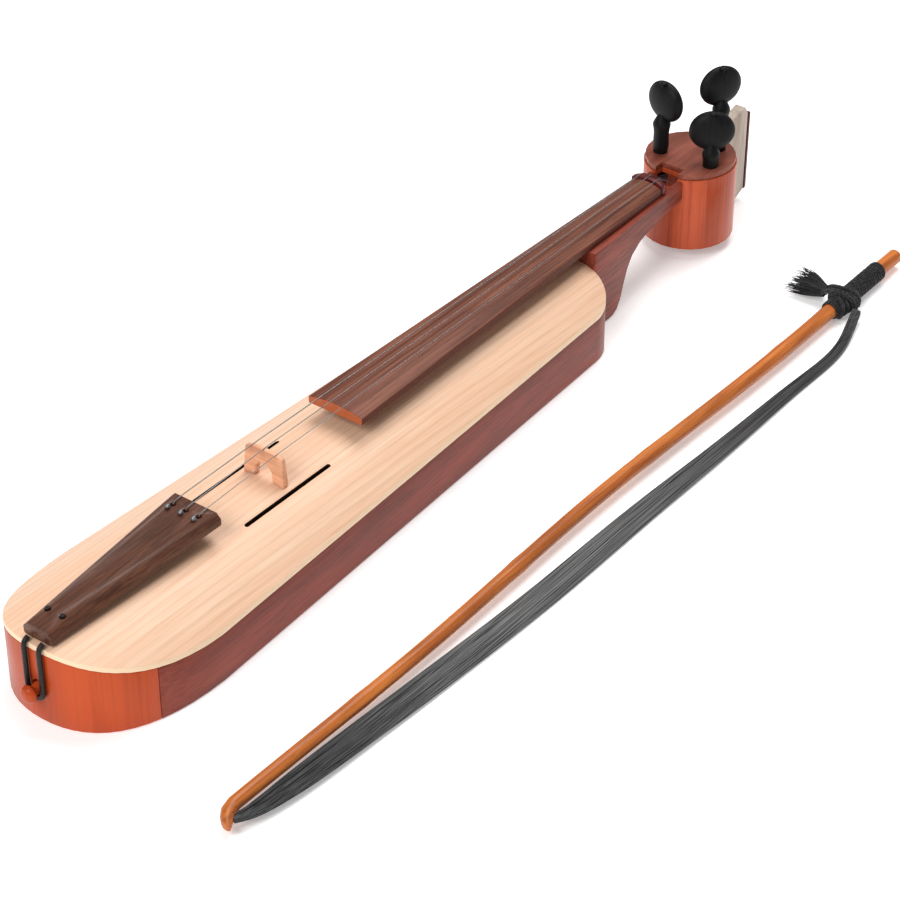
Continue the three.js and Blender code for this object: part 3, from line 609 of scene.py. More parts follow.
class Bench:
    """Modelling moves that the pieces share."""

    @staticmethod
    def pick(piece: bpy.types.Object) -> None:
        """Makes a piece the only one selected and the active one."""
        bpy.ops.object.select_all(action="DESELECT")
        piece.select_set(True)
        bpy.context.view_layer.objects.active = piece

    @staticmethod
    def named(name: str) -> bpy.types.Object:
        """Names the object that an operator has just made."""
        piece = bpy.context.view_layer.objects.active
        piece.name = name
        piece.data.name = name
        return piece

    @staticmethod
    def settle(piece: bpy.types.Object) -> None:
        """Moves a piece's place, turn and scale into its mesh."""
        Bench.pick(piece)
        bpy.ops.object.transform_apply(location=True, rotation=True, scale=True)

    @staticmethod
    def apply(piece: bpy.types.Object, kind: str, **settings: Any) -> None:
        """Adds a modifier and applies it.

        Args:
            piece: The piece that is changed.
            kind: Blender's type name of the modifier.
            **settings: The modifier's properties.
        """
        Bench.pick(piece)
        modifier = piece.modifiers.new(kind.title(), kind)
        for key, value in settings.items():
            setattr(modifier, key, value)
        bpy.ops.object.modifier_apply(modifier=modifier.name)

    @staticmethod
    def outward(piece: bpy.types.Object, merge: float = 0.01) -> None:
        """Merges doubled points and turns every face outwards.

        Args:
            piece: The piece that is changed.
            merge: Distance within which points merge, in millimetres.
        """
        Bench.pick(piece)
        bpy.ops.object.mode_set(mode="EDIT")
        bpy.ops.mesh.select_all(action="SELECT")
        bpy.ops.mesh.remove_doubles(threshold=merge * MM)
        bpy.ops.mesh.normals_make_consistent(inside=False)
        bpy.ops.object.mode_set(mode="OBJECT")

    @staticmethod
    def smooth(piece: bpy.types.Object, degrees: float = 32.0) -> None:
        """Shades a piece smooth across edges flatter than an angle."""
        Bench.pick(piece)
        bpy.ops.object.shade_smooth_by_angle(angle=math.radians(degrees))

    @staticmethod
    def from_node(node: str, name: str, merge: float = 0.02) -> bpy.types.Object:
        """Takes a merged copy of a CAD node as a piece's starting shape.

        Args:
            node: The CAD node copied.
            name: Name of the new piece.
            merge: Distance within which points merge, in millimetres.

        Returns:
            The new piece.
        """
        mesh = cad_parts[node].data.copy()
        mesh.materials.clear()
        piece = bpy.data.objects.new(name, mesh)
        mesh.name = name
        bpy.context.scene.collection.objects.link(piece)
        Bench.pick(piece)
        if mesh.has_custom_normals:
            bpy.ops.mesh.customdata_custom_splitnormals_clear()
        bpy.ops.object.mode_set(mode="EDIT")
        bpy.ops.mesh.select_all(action="SELECT")
        bpy.ops.mesh.remove_doubles(threshold=merge * MM)
        bpy.ops.mesh.dissolve_limited(angle_limit=math.radians(0.4))
        bpy.ops.object.mode_set(mode="OBJECT")
        return piece

    @staticmethod
    def round_edges(
        piece: bpy.types.Object, width: float, segments: int = 3, degrees: float = 40.0
    ) -> None:
        """Rounds a piece's sharp edges.

        Args:
            piece: The piece that is changed.
            width: Width of the rounding, in millimetres.
            segments: Faces across the rounding.
            degrees: Edges sharper than this are rounded.
        """
        Bench.apply(
            piece, "BEVEL", width=width * MM, segments=segments, limit_method="ANGLE",
            angle_limit=math.radians(degrees), use_clamp_overlap=True, harden_normals=False,
        )

    @staticmethod
    def copy(piece: bpy.types.Object, name: str) -> bpy.types.Object:
        """Copies a piece with its own mesh."""
        twin = piece.copy()
        twin.data = piece.data.copy()
        twin.name = name
        twin.data.name = name
        bpy.context.scene.collection.objects.link(twin)
        return twin

    @staticmethod
    def draw(name: str, rings: Sequence[Ring], corners: int = 20) -> bpy.types.Object:
        """Draws a round section out along Y, ring by ring.

        Args:
            name: Name of the new piece.
            rings: The sections, in order along the piece.
            corners: Corners of each section.

        Returns:
            The closed piece, its place in its mesh.
        """
        first = rings[0]
        bpy.ops.object.select_all(action="DESELECT")
        bpy.ops.mesh.primitive_circle_add(
            vertices=corners, radius=MM, fill_type="NGON", location=spot(first.x, first.y, first.z),
            rotation=(math.pi / 2, 0, 0),
        )
        piece = Bench.named(name)
        piece.scale = (first.wide, first.tall, 1)
        Bench.settle(piece)
        bpy.ops.object.mode_set(mode="EDIT")
        bpy.ops.mesh.select_all(action="SELECT")
        for before, after in zip(rings, rings[1:]):
            centre = spot(after.x, after.y, after.z)
            bpy.ops.mesh.extrude_region_move(TRANSFORM_OT_translate={
                "value": centre - spot(before.x, before.y, before.z),
            })
            bpy.ops.transform.resize(
                value=(after.wide / before.wide, 1, after.tall / before.tall), center_override=centre,
            )
        bpy.ops.object.mode_set(mode="OBJECT")
        Bench.outward(piece)
        return piece

    @staticmethod
    def turn(
        name: str, centre: Vector, profile: Sequence[tuple[float, float]], corners: int = 32
    ) -> bpy.types.Object:
        """Turns a round piece upright, as on a lathe.

        Args:
            name: Name of the new piece.
            centre: Foot of the axis, in metres.
            profile: Radius and height of each step, in millimetres.
            corners: Corners round the piece.

        Returns:
            The closed piece, its place in its mesh.
        """
        bpy.ops.object.select_all(action="DESELECT")
        radius, height = profile[0]
        bpy.ops.mesh.primitive_circle_add(
            vertices=corners, radius=radius * MM, fill_type="NGON",
            location=centre + Vector((0, 0, height * MM)),
        )
        piece = Bench.named(name)
        Bench.settle(piece)
        bpy.ops.object.mode_set(mode="EDIT")
        bpy.ops.mesh.select_all(action="SELECT")
        for (was, low), (now, high) in zip(profile, profile[1:]):
            bpy.ops.mesh.extrude_region_move(TRANSFORM_OT_translate={"value": (0, 0, (high - low) * MM)})
            share = now / was
            bpy.ops.transform.resize(
                value=(share, share, 1), center_override=centre + Vector((0, 0, high * MM)),
            )
        bpy.ops.object.mode_set(mode="OBJECT")
        Bench.outward(piece)
        return piece

    @staticmethod
    def lay(
        name: str, paths: Sequence[Sequence[Vector]], thick: float, sides: int = 2, taper: bool = False
    ) -> bpy.types.Object:
        """Lays round strands along smooth paths and makes them one mesh.

        Args:
            name: Name of the new piece.
            paths: Points of each strand, in metres.
            thick: Radius of a strand, in millimetres.
            sides: Roundness of a strand's section.
            taper: True if a strand runs out to a thin end.

        Returns:
            The strands as one piece.
        """
        curve = bpy.data.curves.new(name, "CURVE")
        curve.dimensions = "3D"
        curve.bevel_depth = thick * MM
        curve.bevel_resolution = sides
        curve.use_fill_caps = True
        curve.resolution_u = 4
        for path in paths:
            spline = curve.splines.new("NURBS")
            spline.points.add(len(path) - 1)
            spline.order_u = 4
            spline.use_endpoint_u = True
            for step, (point, place) in enumerate(zip(spline.points, path)):
                point.co = (*place, 1)
                point.radius = 1 - 0.7 * step / (len(path) - 1) if taper else 1.0
        piece = bpy.data.objects.new(name, curve)
        bpy.context.scene.collection.objects.link(piece)
        Bench.pick(piece)
        bpy.ops.object.convert(target="MESH")
        piece = Bench.named(name)
        Bench.smooth(piece, 60.0)
        return piece


class Workshop:
    """Keeps the finishes made so far and hands each piece over to the frame."""

    def __init__(self) -> None:
        """Starts with no finish made."""
        self.made: dict[str, bpy.types.Material] = {}

    def material(self, finish: Finish) -> bpy.types.Material:
        """Gives the material of a finish, made once."""
        if finish.name not in self.made:
            self.made[finish.name] = finish.make()
        return self.made[finish.name]

    def hand_over(self, piece: bpy.types.Object, finish: Finish, slot: str, body: str, *nodes: str) -> None:
        """Dresses a piece, puts it on its body and lets it stand for CAD nodes.

        Args:
            piece: The finished piece.
            finish: What it is made of.
            slot: Not used.
            body: The CAD body that it moves with.
            *nodes: The CAD nodes that it stands for.
        """
        piece.data.materials.clear()
        piece.data.materials.append(self.material(finish))
        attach(piece, body)
        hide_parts(*nodes)
        LOG.info("%s: %s, %d faces, on %s", piece.name, finish.name, len(piece.data.polygons), body)

    def refine(
        self, node: str, name: str, finish: Finish, slot: str, width: float,
        segments: int = 3, merge: float = 0.02, degrees: float = 40.0,
    ) -> bpy.types.Object:
        """Rounds a copy of a fiddle node, dresses it and hands it over in the node's place.

        Args:
            node: The CAD node.
            name: Name of the new piece.
            finish: What it is made of.
            slot: The record's material slot.
            width: Width of the rounding, in millimetres.
            segments: Faces across the rounding.
            merge: Distance within which points merge, in millimetres.
            degrees: Edges sharper than this are rounded.

        Returns:
            The finished piece.
        """
        piece = Bench.from_node(node, name, merge)
        Bench.round_edges(piece, width, segments, degrees)
        Bench.smooth(piece)
        self.hand_over(piece, finish, slot, "fiddle", node)
        return piece

    def paint(self, node: str, finish: Finish) -> None:
        """Gives a CAD node that stays its finish."""
        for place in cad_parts[node].material_slots:
            place.material = self.material(finish)
        LOG.info("%s: kept, %s", node, finish.name)


# ---- sub-assemblies -----------------------------------------------------------------------------
@dataclass
class SoundBox:
    """Hollow body: soundboard, back, tail rib, side ribs and the parts inside.

    Attributes:
        board_round: Rounding of the soundboard's edge, in millimetres.
        rib_round: Rounding of the ribs' edges, in millimetres.
        slot_middle: Distance of a slot's middle from the board's middle.
        slot_start: The slots' end near the tail, counted from the tail.
        slot_end: Their other end.
        slot_reach: How far from a slot's middle its walls are looked for.
        board_merge: Distance within which the soundboard's points merge.
        rib_merge: Distance within which the ribs' points merge.
    """

    board_round: float = 0.6
    rib_round: float = 0.3
    slot_middle: float = 16.3
    slot_start: float = 126.5
    slot_end: float = 187.5
    slot_reach: float = 2.6
    board_merge: float = 0.25
    rib_merge: float = 0.1

    def build(self, shop: Workshop) -> None:
        """Builds and dresses the box."""
        board = shop.refine(
            "soundboard", "spruce_soundboard", SPRUCE, "spruce", self.board_round, 2, self.board_merge
        )
        self.shade_slots(shop, board)
        for node, finish, slot in (
            ("back_plate", RED_SIDE, "red_varnish"), ("rib_left", RED_SIDE, "red_varnish"),
            ("rib_right", RED_SIDE, "red_varnish"), ("tail_rib", LIT_RIB_VARNISH, "orange_varnish"),
        ):
            shop.refine(node, f"{node}_finished", finish, slot, self.rib_round, 2, self.rib_merge)
        for node in ("tail_block", "lining_left", "lining_right", "bass_bar", "sound_post"):
            shop.paint(node, INNER_WOOD)

    def shade_slots(self, shop: Workshop, board: bpy.types.Object) -> None:
        """Paints the walls of the two sound slots dark brown, as painted shade.

        Args:
            shop: The workshop that keeps the finishes.
            board: The soundboard.
        """
        board.data.materials.append(shop.material(SLOT_SHADE))
        near, far = spot(0, self.slot_start - 2.5, 0).y, spot(0, self.slot_end + 2.5, 0).y
        # Painted shade: the upright faces beside each slot's middle take the dark slot colour.
        for face in board.data.polygons:
            across = abs(face.center.x) / MM
            in_slot = near < face.center.y < far and abs(across - self.slot_middle) < self.slot_reach
            if in_slot and abs(face.normal.z) < 0.5:
                face.material_index = 1


@dataclass
class Neck:
    """Neck with its heel, the raised fingerboard and the nut.

    Attributes:
        neck_round: Rounding of the neck's edges, in millimetres.
        board_round: Rounding of the fingerboard's edges, in millimetres.
        nut_round: Rounding of the nut, in millimetres.
    """

    neck_round: float = 2.2
    board_round: float = 0.5
    nut_round: float = 0.4

    def build(self, shop: Workshop) -> None:
        """Builds and dresses the neck."""
        shop.refine("neck", "neck_carved", RED_NECK, "red_varnish", self.neck_round, 4)
        shop.refine("fingerboard", "fingerboard_planed", BOARD_WOOD, "board_wood", self.board_round)
        shop.refine("nut", "nut_filed", RIM_WOOD, "orange_varnish", self.nut_round, 2)


@dataclass
class Head:
    """Hollow round head, its face, and the crest plate behind it.

    Attributes:
        box_round: Rounding of the box's edges, in millimetres.
        face_round: Rounding of the face's edge, in millimetres.
        crest_round: Rounding of the crest plate, in millimetres.
    """

    box_round: float = 0.8
    face_round: float = 0.9
    crest_round: float = 0.8

    def build(self, shop: Workshop) -> None:
        """Builds and dresses the head."""
        for node, finish, slot, width in (
            ("head_box", LIT_HEAD_VARNISH, "orange_varnish", self.box_round),
            ("head_face", FACE_WOOD, "red_varnish", self.face_round),
            ("crest_plate", CREST_WOOD, "crest_wood", self.crest_round),
            ("crest_rim", RIM_WOOD, "board_wood", self.box_round / 2),
        ):
            shop.refine(node, f"{node}_finished", finish, slot, width)


@dataclass
class Pegs:
    """Three turned tuning pegs, each with its thumb piece, cap and string winding.

    Attributes:
        shaft: Radius of the shaft, in millimetres.
        neck: Height of the collar above the shaft's foot, in millimetres.
        half_wide: Half the width of the thumb piece.
        half_thick: Half its thickness.
        tall: Its height.
        coil: Radius of the string wire on the shaft.
        turns: Turns of string on a shaft.
    """

    shaft: float = 3.9
    neck: float = 49.0
    half_wide: float = 13.0
    half_thick: float = 5.5
    tall: float = 24.0
    coil: float = 0.45
    turns: int = 4

    def shape(self) -> bpy.types.Object:
        """Makes one peg at the origin, its shaft's foot on the ground.

        Returns:
            The peg, shaft and thumb piece in one closed mesh.
        """
        wide, neck = self.shaft, self.neck
        shaft = Bench.turn("peg_model", Vector(), (
            (wide - 0.9, 0), (wide - 0.3, 0.4), (wide, 1.2), (wide, 30.6), (wide + 0.4, 32), (wide + 0.6, 34),
            (wide + 0.5, neck - 7), (wide + 0.7, neck - 4.5), (wide + 1.2, neck - 2), (wide + 1.1, neck - 0.8),
            (wide + 0.6, neck + 0.4), (wide - 0.4, neck + 2.4), (wide - 1.6, neck + 4.6),
        ))
        bpy.ops.object.select_all(action="DESELECT")
        middle = neck + self.tall / 2
        bpy.ops.mesh.primitive_uv_sphere_add(
            segments=40, ring_count=24, radius=MM, location=(0, 0, middle * MM)
        )
        thumb = Bench.named("thumb_model")
        thumb.scale = (self.half_wide, self.half_thick, self.tall / 2)
        Bench.settle(thumb)
        self.hollow(thumb, middle)
        Bench.apply(shaft, "BOOLEAN", operation="UNION", object=thumb, solver="EXACT")
        bpy.data.objects.remove(thumb)
        Bench.outward(shaft, 0.05)
        Bench.smooth(shaft, 40.0)
        return shaft

    def hollow(self, thumb: bpy.types.Object, middle: float) -> None:
        """Presses a shallow hollow into both faces of the thumb piece.

        Args:
            thumb: The thumb piece.
            middle: Height of its middle, in millimetres.
        """
        for side in (-1, 1):
            Bench.pick(thumb)
            for vertex in thumb.data.vertices:
                near = math.hypot(vertex.co.x, vertex.co.z - middle * MM) < self.half_wide * 0.3 * MM
                vertex.select = near and vertex.co.y * side > 0
            bpy.ops.object.mode_set(mode="EDIT")
            bpy.ops.transform.translate(
                value=(0, -side * self.half_thick * 0.42 * MM, 0), use_proportional_edit=True,
                proportional_edit_falloff="SMOOTH", proportional_size=self.half_wide * 0.55 * MM,
                use_proportional_connected=True,
            )
            bpy.ops.mesh.select_all(action="DESELECT")
            bpy.ops.object.mode_set(mode="OBJECT")

    def winding(self, name: str, centre: Vector) -> bpy.types.Object:
        """Winds a string round a shaft.

        Args:
            name: Name of the new piece.
            centre: Middle of the winding, in metres.

        Returns:
            The coil.
        """
        reach = self.shaft + self.coil + 0.35
        count = self.turns * 14
        path = []
        for step in range(count + 1):
            angle = math.tau * self.turns * step / count
            rise = (step / count - 0.5) * 2 * self.coil * self.turns * 1.15
            path.append(centre + Vector((reach * math.cos(angle), reach * math.sin(angle), rise)) * MM)
        return Bench.lay(name, [path], self.coil)

    def build(self, shop: Workshop) -> None:
        """Builds and dresses the pegs."""
        model = self.shape()
        for name, turn in (("low", -14), ("middle", 62), ("high", 37)):
            low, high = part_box(f"peg_{name}")
            round_low, round_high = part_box(f"peg_cap_{name}")
            axis = (round_low + round_high) / 2
            peg = Bench.copy(model, f"peg_{name}_turned")
            peg.location = (axis.x, axis.y, low.z)
            peg.rotation_euler = (0, 0, math.radians(turn))
            Bench.settle(peg)
            body = f"peg_{name}_body"
            shop.hand_over(peg, BLACK_WOOD, "black_wood", body, f"peg_{name}")
            foot = Vector((axis.x, axis.y, round_low.z))
            cap = Bench.turn(f"peg_pip_{name}", foot, (
                (0.9, -1.8), (1.0, -0.7), (1.6, 0.0), (2.2, 0.3), (2.4, 0.7), (2.2, 1.2),
                (1.6, 1.6), (0.7, 1.8),
            ), 24)
            Bench.smooth(cap, 60.0)
            shop.hand_over(cap, BLACK_WOOD, "black_wood", body, f"peg_cap_{name}")
            low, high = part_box(f"winding_{name}")
            coil = self.winding(f"string_coil_{name}", (low + high) / 2)
            shop.hand_over(coil, STEEL, "steel", body, f"winding_{name}")
        bpy.data.objects.remove(model)


@dataclass
class Strings:
    """Bridge, tailpiece, tail gut, end button and the three strings.

    Attributes:
        gauges: Radii of the low, middle and high string, in millimetres.
        gut: Radius of the tail gut.
        button: Radius of the end button's rim.
        button_z: Height of the gut's bend round the button.
        button_axis: Height of the button's axis.
        gut_pitch: Distance of a strand of gut from the middle.
        gut_face: The gut's place on Y where it lies on the tail rib.
        gut_over: Height of the gut where it passes over the tail edge.
        bridge_round: Rounding of the bridge's edges.
        tailpiece_round: Rounding of the tailpiece's edges.
    """

    gauges: tuple[float, float, float] = (0.27, 0.23, 0.2)
    gut: float = 1.3
    button: float = 4.6
    button_z: float = 18.7
    button_axis: float = 18.68
    gut_pitch: float = 4.6
    gut_face: float = -1.6
    gut_over: float = 44.7
    bridge_round: float = 0.5
    tailpiece_round: float = 0.35

    def build(self, shop: Workshop) -> None:
        """Builds and dresses the string parts."""
        shop.refine("bridge", "bridge_trimmed", BRIDGE_WOOD, "bridge_wood", self.bridge_round)
        shop.refine(
            "tailpiece", "tailpiece_planed", TAILPIECE_WOOD, "tailpiece_wood", self.tailpiece_round, 2,
            degrees=30.0,
        )
        self.tail_gut(shop)
        self.end_button(shop)
        self.strings(shop)

    def tail_gut(self, shop: Workshop) -> None:
        """Lays the gut over the tail edge and round the end button."""
        pitch, face, over = self.gut_pitch, self.gut_face, self.gut_over
        down = [(3, 1.4, over + 0.3), (0, -1.0, over - 0.4), (0, -1.8, over - 3), (0, face, over - 7)]
        left = [spot(-pitch, y, z) for _, y, z in down] + [spot(-pitch - 0.1, face, self.button_z + 8)]
        right = [Vector((-point.x, point.y, point.z)) for point in reversed(left)]
        bend = [
            spot(
                -(pitch + 0.1) * math.cos(math.pi * step / 8), face,
                self.button_z - 4.7 * math.sin(math.pi * step / 8),
            )
            for step in range(9)
        ]
        gut = Bench.lay("tail_gut_loop", [left + bend + right], self.gut, 4)
        shop.hand_over(gut, GUT, "gut", "fiddle", "tail_gut")
        for side in ("left", "right"):
            low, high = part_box(f"gut_end_{side}")
            middle = (low + high) / 2
            end = Bench.turn(f"gut_knot_{side}", Vector((middle.x, middle.y, low.z)), (
                (1.0, 0.0), (1.2, 0.3), (1.2, 6.4), (1.3, 6.9), (1.1, 7.2),
            ), 20)
            Bench.smooth(end, 50.0)
            shop.hand_over(end, GUT, "gut", "fiddle", f"gut_end_{side}")

    def end_button(self, shop: Workshop) -> None:
        """Turns the end button and lays it along Y in the tail."""
        button = Bench.turn("end_button_turned", Vector(), (
            (2.6, -7.9), (2.95, -7.4), (2.95, 5.2), (2.55, 6.2), (2.5, 8.4), (3.4, 9.0), (4.3, 9.4),
            (self.button, 10.2), (self.button, 11.0), (4.2, 12.0), (3.2, 12.8), (1.6, 13.3),
        ))
        button.rotation_euler = (math.pi / 2, 0, 0)
        button.location = spot(0, 4.6, self.button_axis)
        Bench.settle(button)
        Bench.smooth(button, 50.0)
        shop.hand_over(button, LIT_RIB_VARNISH, "orange_varnish", "fiddle", "end_button")

    def strings(self, shop: Workshop) -> None:
        """Stretches the strings from the tailpiece over bridge and nut to the pegs."""
        bridge_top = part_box("bridge")[1].z / MM
        nut_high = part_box("nut")[1]
        head_start = nut_high.y / MM - TAIL_Y + 1.7
        tail_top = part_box("tailpiece")[1].z / MM
        for place, name, gauge in zip((-1, 0, 1), ("low", "middle", "high"), self.gauges):
            low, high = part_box(f"winding_{name}")
            coil = (low + high) / 2 / MM
            crest = bridge_top - 0.7 * abs(place) + gauge + 0.15
            nut_top = nut_high.z / MM + gauge + 0.1 - 0.6 * abs(place)
            route = [
                (place * 8, 103, tail_top - 0.2), (place * 8, 104.5, tail_top + gauge + 0.6),
                (place * 8, 111, tail_top + gauge + 1.0), (place * 7.4, 158.5, crest - 0.05),
                (place * 7.4, 161.5, crest), (place * 5.4, 488.3, nut_top), (place * 5.4, 492.3, nut_top - 0.1),
                (place * 5.4, head_start + 9, 50.9), (place * 5, head_start + 18.4, 46.0),
                (coil.x - place, coil.y - TAIL_Y - 5.6, coil.z),
            ]
            points = [spot(*route[0])]
            for start, end in zip(route, route[1:]):
                steps = 8 if end[1] - start[1] > 20 else 3
                for step in range(1, steps + 1):
                    points.append(spot(*start).lerp(spot(*end), step / steps))
            string = Bench.lay(f"string_{name}_stretched", [points], gauge)
            shop.hand_over(string, STEEL, "steel", "fiddle", f"string_{name}")
            low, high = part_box(f"string_ball_{name}")
            middle = (low + high) / 2
            ball = Bench.turn(f"string_end_{name}", Vector((middle.x, middle.y, low.z)), (
                (0.9, 0.0), (1.3, 0.2), (1.45, 0.6), (1.3, 1.1), (0.7, (high.z - low.z) / MM),
            ), 20)
            Bench.smooth(ball, 60.0)
            shop.hand_over(ball, STEEL, "steel", "fiddle", f"string_ball_{name}")


@dataclass
class Bow:
    """Bow: crooked stick, slack black hair, wound handle, knot and tassel.

    Attributes:
        axis_x: The stick's place on X, in millimetres.
        tip_y: Its tip's place from the tail.
        length: Its length.
        tip: Its radius at the tip.
        butt: Its radius at the butt.
        hairs: Strands of hair drawn.
        threads: Strands of the tassel drawn.
        seed: Seed of the hair's unevenness.
        knot_y: The hair knot's place from the tail.
        wrap: Start and end of the wound handle.
        pitch: Distance between the turns of tape.
        tape: Half the thickness of the tape.
        strand: Radius of a drawn hair.
        butt_round: Length over which the butt is rounded off.
    """

    axis_x: float = 111.0
    tip_y: float = -7.0
    length: float = 585.0
    tip: float = 3.5
    butt: float = 4.3
    hairs: int = 130
    threads: int = 210
    seed: int = 7
    knot_y: float = 515.0
    wrap: tuple[float, float] = (503.0, 557.0)
    pitch: float = 2.1
    tape: float = 0.75
    strand: float = 0.42
    butt_round: float = 4.0

    def share(self, y: float) -> float:
        """Gives how far along the stick a place is, from 0 to 1."""
        return min(max((y - self.tip_y) / self.length, 0.0), 1.0)

    def sway(self, y: float) -> float:
        """Gives the stick's middle on X, along its slight bends."""
        offsets = (0.0, 2.2, -0.8, 2.6, 1.4)
        place = self.share(y) * 4
        low = min(int(place), 3)
        part = place - low
        before, start = offsets[max(low - 1, 0)], offsets[low]
        end, after = offsets[low + 1], offsets[min(low + 2, 4)]
        rise, fall = (end - before) / 2, (after - start) / 2
        curved = (2 * start - 2 * end + rise + fall) * part ** 3
        curved += (-3 * start + 3 * end - 2 * rise - fall) * part ** 2
        return self.axis_x + curved + rise * part + start

    def height(self, y: float) -> float:
        """Gives the stick's middle on Z."""
        return 6.3 + 1.5 * math.sin(math.pi * (y - self.tip_y) / self.length)

    def radius(self, y: float) -> float:
        """Gives the stick's radius, with slight swellings where twigs grew."""
        knots = sum(0.28 * math.exp(-((y - knot) / 5) ** 2) for knot in (88, 214, 331, 452))
        return self.tip + (self.butt - self.tip) * self.share(y) + knots

    def build(self, shop: Workshop) -> None:
        """Builds and dresses the bow."""
        self.stick(shop)
        self.hair(shop)
        self.handle(shop)
        self.knot(shop)
        self.tassel(shop)

    def stick(self, shop: Workshop) -> None:
        """Whittles the stick, hooked at its tip and rounded at its butt."""
        x, y = self.axis_x, self.tip_y
        rings = [
            Ring(x + 7.2, y - 1.4, 6.3, 1.6, 1.5), Ring(x + 6.7, y - 1.0, 6.3, 2.7, 2.5),
            Ring(x + 4.6, y + 1.4, 6.3, 3.6, 3.3), Ring(x + 2.0, y + 5.4, 6.3, 3.9, 3.6),
        ]
        last = y + self.length
        places = [y + 12 + step * (self.length - 16) / 60 for step in range(61)]
        places += [last - 1.6, last - 0.5, last]
        for place in places:
            wide = self.radius(place)
            if place > last - self.butt_round:
                wide *= min(1.0, math.sqrt((last - place) / self.butt_round) + 0.45)
            rings.append(Ring(self.sway(place), place, self.height(place), wide, wide))
        stick = Bench.draw("bow_stick_whittled", rings, 24)
        Bench.smooth(stick, 50.0)
        shop.hand_over(stick, STICK_WOOD, "stick_wood", "bow", "bow_stick")

    def hair_route(self) -> list[Ring]:
        """Gives the hair ribbon's sections from the tip to the knot.

        Returns:
            The sections, their width on X and their thickness on Z.
        """
        x = self.axis_x
        marks = (
            (5.6, -3, 5.8, 1.6, 1.6), (8.6, 3, 5.6, 2.8, 1.4), (9.6, 12, 4.8, 4.4, 1.2),
            (11.2, 36, 3.8, 6.6, 1), (12.6, 76, 2.2, 7.6, 0.9), (15, 122, 1.2, 8, 0.9),
            (18, 176, 1.2, 7.5, 0.9), (19.5, 230, 1.2, 7.5, 0.9),
            (19, 293, 1.2, 7, 0.9), (22, 362, 1.2, 5.6, 0.9), (21.5, 430, 1.2, 3.8, 0.9),
            (23.5, 462, 1.2, 3.1, 1), (22, 486, 1.2, 2.8, 1.1), (16, 503, 2.8, 2.6, 1.4), (13, 514, 5, 2.4, 2),
        )
        return [Ring(x + side, y, z, wide, tall) for side, y, z, wide, tall in marks]

    def hair(self, shop: Workshop) -> None:
        """Lays the loose hairs side by side along the ribbon's route."""
        dice = random.Random(self.seed)
        route = self.hair_route()
        paths = []
        for _ in range(self.hairs):
            lane = dice.uniform(-1, 1)
            layer = dice.uniform(-0.8, 0.9)
            swing = dice.uniform(0, math.tau)
            drift = dice.uniform(0.03, 0.12)
            path = []
            for step, ring in enumerate(route):
                across = max(-1.0, min(1.0, lane + drift * math.sin(swing + step * 1.3)))
                path.append(spot(
                    ring.x + across * ring.wide * 0.97, ring.y, max(0.55, ring.z + layer * ring.tall * 0.85),
                ))
            paths.append(path)
        hair = Bench.lay("bow_hair_strands", paths, self.strand, 1)
        shop.hand_over(hair, HORSEHAIR, "horsehair", "bow", "bow_hair")

    def handle(self, shop: Workshop) -> None:
        """Winds tape round the handle."""
        start, end = self.wrap
        turns = (end - start) / self.pitch
        count = int(turns * 16)
        path = []
        for step in range(count + 1):
            y = start + (end - start) * step / count
            angle = math.tau * turns * step / count
            reach = self.radius(y) + self.tape
            path.append(spot(
                self.sway(y) + reach * math.cos(angle), y, self.height(y) + reach * math.sin(angle),
            ))
        wrap = Bench.lay("handle_tape", [path], self.tape, 1)
        shop.hand_over(wrap, COTTON, "wrap_cloth", "bow", "handle_wrap")

    def knot(self, shop: Workshop) -> None:
        """Ties the hair's end in a few crossing turns over the stick."""
        y = self.knot_y
        x, z = self.sway(y), self.height(y)
        paths = []
        for turn in range(5):
            lean = (turn - 2) * 0.3
            path = []
            for step in range(25):
                angle = math.tau * step / 24
                reach = 6.5 + 0.5 * math.sin(3 * angle + turn)
                along = (turn - 2) * 2.3 + lean * 7 * math.cos(angle)
                path.append(spot(
                    x + reach * math.cos(angle), y + along, max(1.5, z + reach * math.sin(angle)),
                ))
            paths.append(path)
        for lift, slide in ((0.0, 0.0), (1.1, 2.4), (0.4, -2.6)):
            loop = (
                (x - 11, y + 1, z + 2.4), (x - 7.5, y, z + 5.6), (x - 2, y - 2.5, z + 8),
                (x + 4.5, y - 1, z + 7.6), (x + 7.6, y + 3, z + 3.6), (x + 8, y + 5, z - 0.5),
                (x + 8.5, y + 2, z - 2.8),
            )
            paths.append([spot(across, along + slide, high + lift) for across, along, high in loop])
        knot = Bench.lay("hair_knot_tied", paths, 1.3, 3)
        shop.hand_over(knot, COTTON, "wrap_cloth", "bow", "hair_knot")

    def tassel(self, shop: Workshop) -> None:
        """Spreads the cut ends into a tassel beside the knot."""
        dice = random.Random(self.seed + 1)
        y = self.knot_y
        x = self.sway(y)
        route = (
            Ring(x - 10.4, y + 1.5, 9, 3.2, 2.6), Ring(x - 16, y + 3.5, 8, 4.8, 3.6),
            Ring(x - 22, y + 5.5, 7, 7.2, 4.6), Ring(x - 29, y + 7.5, 6, 9.6, 5),
            Ring(x - 36, y + 9, 5, 11.6, 4),
        )
        paths = []
        for _ in range(self.threads):
            lane, layer = dice.uniform(-1, 1), dice.uniform(-1, 1)
            curl = dice.uniform(-1.2, 1.2)
            reach = dice.uniform(0.66, 1.0)
            path = []
            for step, ring in enumerate(route):
                share = step / (len(route) - 1)
                path.append(spot(
                    route[0].x + (ring.x - route[0].x) * reach,
                    ring.y + lane * ring.wide * 0.93 + curl * share ** 2,
                    max(0.6, ring.z + layer * ring.tall * 0.85),
                ))
            paths.append(path)
        tassel = Bench.lay("tassel_hairs", paths, self.strand, 1, taper=True)
        shop.hand_over(tassel, TASSEL_HAIR, "wrap_cloth", "bow", "tassel")


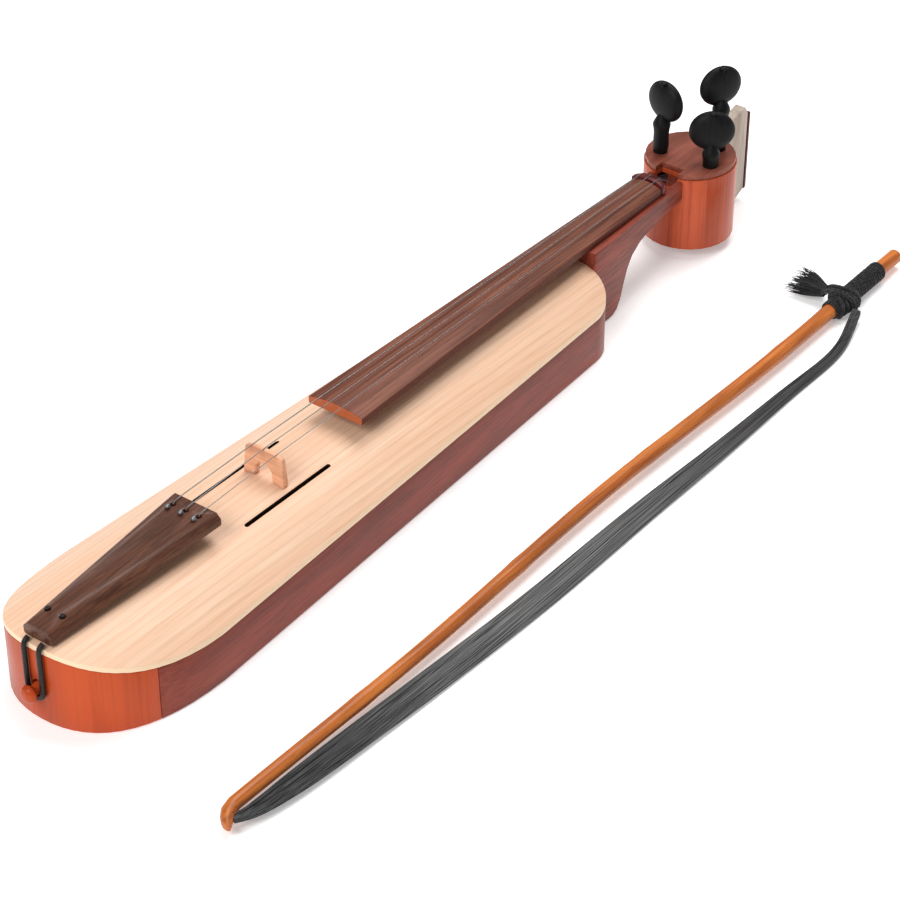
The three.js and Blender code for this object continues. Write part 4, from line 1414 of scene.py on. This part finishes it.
@dataclass
class Studio:
    """Pale floor, soft lights and the camera.

    Attributes:
        eye: The camera's place, in metres.
        azimuth: Turn of its view to the left of +Y, in degrees.
        elevation: Height of its view above the horizon, in degrees.
        lens: Focal length on a 36 mm sensor, in millimetres.
        air: Strength of the even light from all round.
        lamps: Name, place, side and power of each lamp, in metres and watts.
    """

    eye: tuple[float, float, float] = (0.72421, -0.85718, 0.82758)
    azimuth: float = 37.13
    elevation: float = 35.37
    lens: float = 110.94
    air: float = 0.31
    lamps: tuple[tuple[str, tuple[float, float, float], float, float], ...] = (
        ("key_light", (0.0, -1.9, 1.9), 1.2, 38),
        ("top_light", (-0.2, 0.9, 2.0), 1.4, 34),
    )

    def camera(self) -> None:
        """Sets up the camera."""
        data = bpy.data.cameras.new("camera")
        data.sensor_width = 36.0
        data.lens = self.lens
        data.clip_start = 0.05
        data.clip_end = 50.0
        camera = bpy.data.objects.new("camera", data)
        camera.location = self.eye
        camera.rotation_euler = (math.radians(90 - self.elevation), 0, math.radians(self.azimuth))
        bpy.context.scene.collection.objects.link(camera)
        bpy.context.scene.camera = camera

    def light(self, name: str, place: tuple[float, float, float], size: float, power: float) -> None:
        """Hangs a square soft light that faces the object.

        Args:
            name: Name of the light.
            place: Its place, in metres.
            size: Its side, in metres.
            power: Its power, in watts.
        """
        data = bpy.data.lights.new(name, "AREA")
        data.size = size
        data.energy = power
        lamp = bpy.data.objects.new(name, data)
        lamp.location = place
        aim = Vector((0.03, 0.05, 0.02)) - lamp.location
        lamp.rotation_euler = aim.to_track_quat("-Z", "Y").to_euler()
        bpy.context.scene.collection.objects.link(lamp)

    def build(self, shop: Workshop) -> None:
        """Builds the floor, the world and the lights."""
        bpy.ops.object.select_all(action="DESELECT")
        bpy.ops.mesh.primitive_plane_add(size=12, location=(0, 0, -0.0003))
        floor = Bench.named("studio_floor")
        Bench.settle(floor)
        floor.data.materials.append(shop.material(FLOOR_PAPER))
        world = bpy.data.worlds.new("studio_air")
        world.use_nodes = True
        world.node_tree.nodes["Background"].inputs["Color"].default_value = linear("FFFFFF")
        world.node_tree.nodes["Background"].inputs["Strength"].default_value = self.air
        bpy.context.scene.world = world
        bpy.context.scene.view_settings.view_transform = "Standard"
        for lamp in self.lamps:
            self.light(*lamp)


def main() -> None:
    """Builds the studio and every sub-assembly, and reports each piece."""
    logging.basicConfig(level=logging.INFO, format="%(name)s %(message)s")
    shop = Workshop()
    studio = Studio()
    studio.camera()
    for part in (Bow(), SoundBox(), Neck(), Head(), Pegs(), Strings()):
        part.build(shop)
        LOG.info("built %s", type(part).__name__)
    studio.build(shop)


if __name__ == "__main__":
    main()
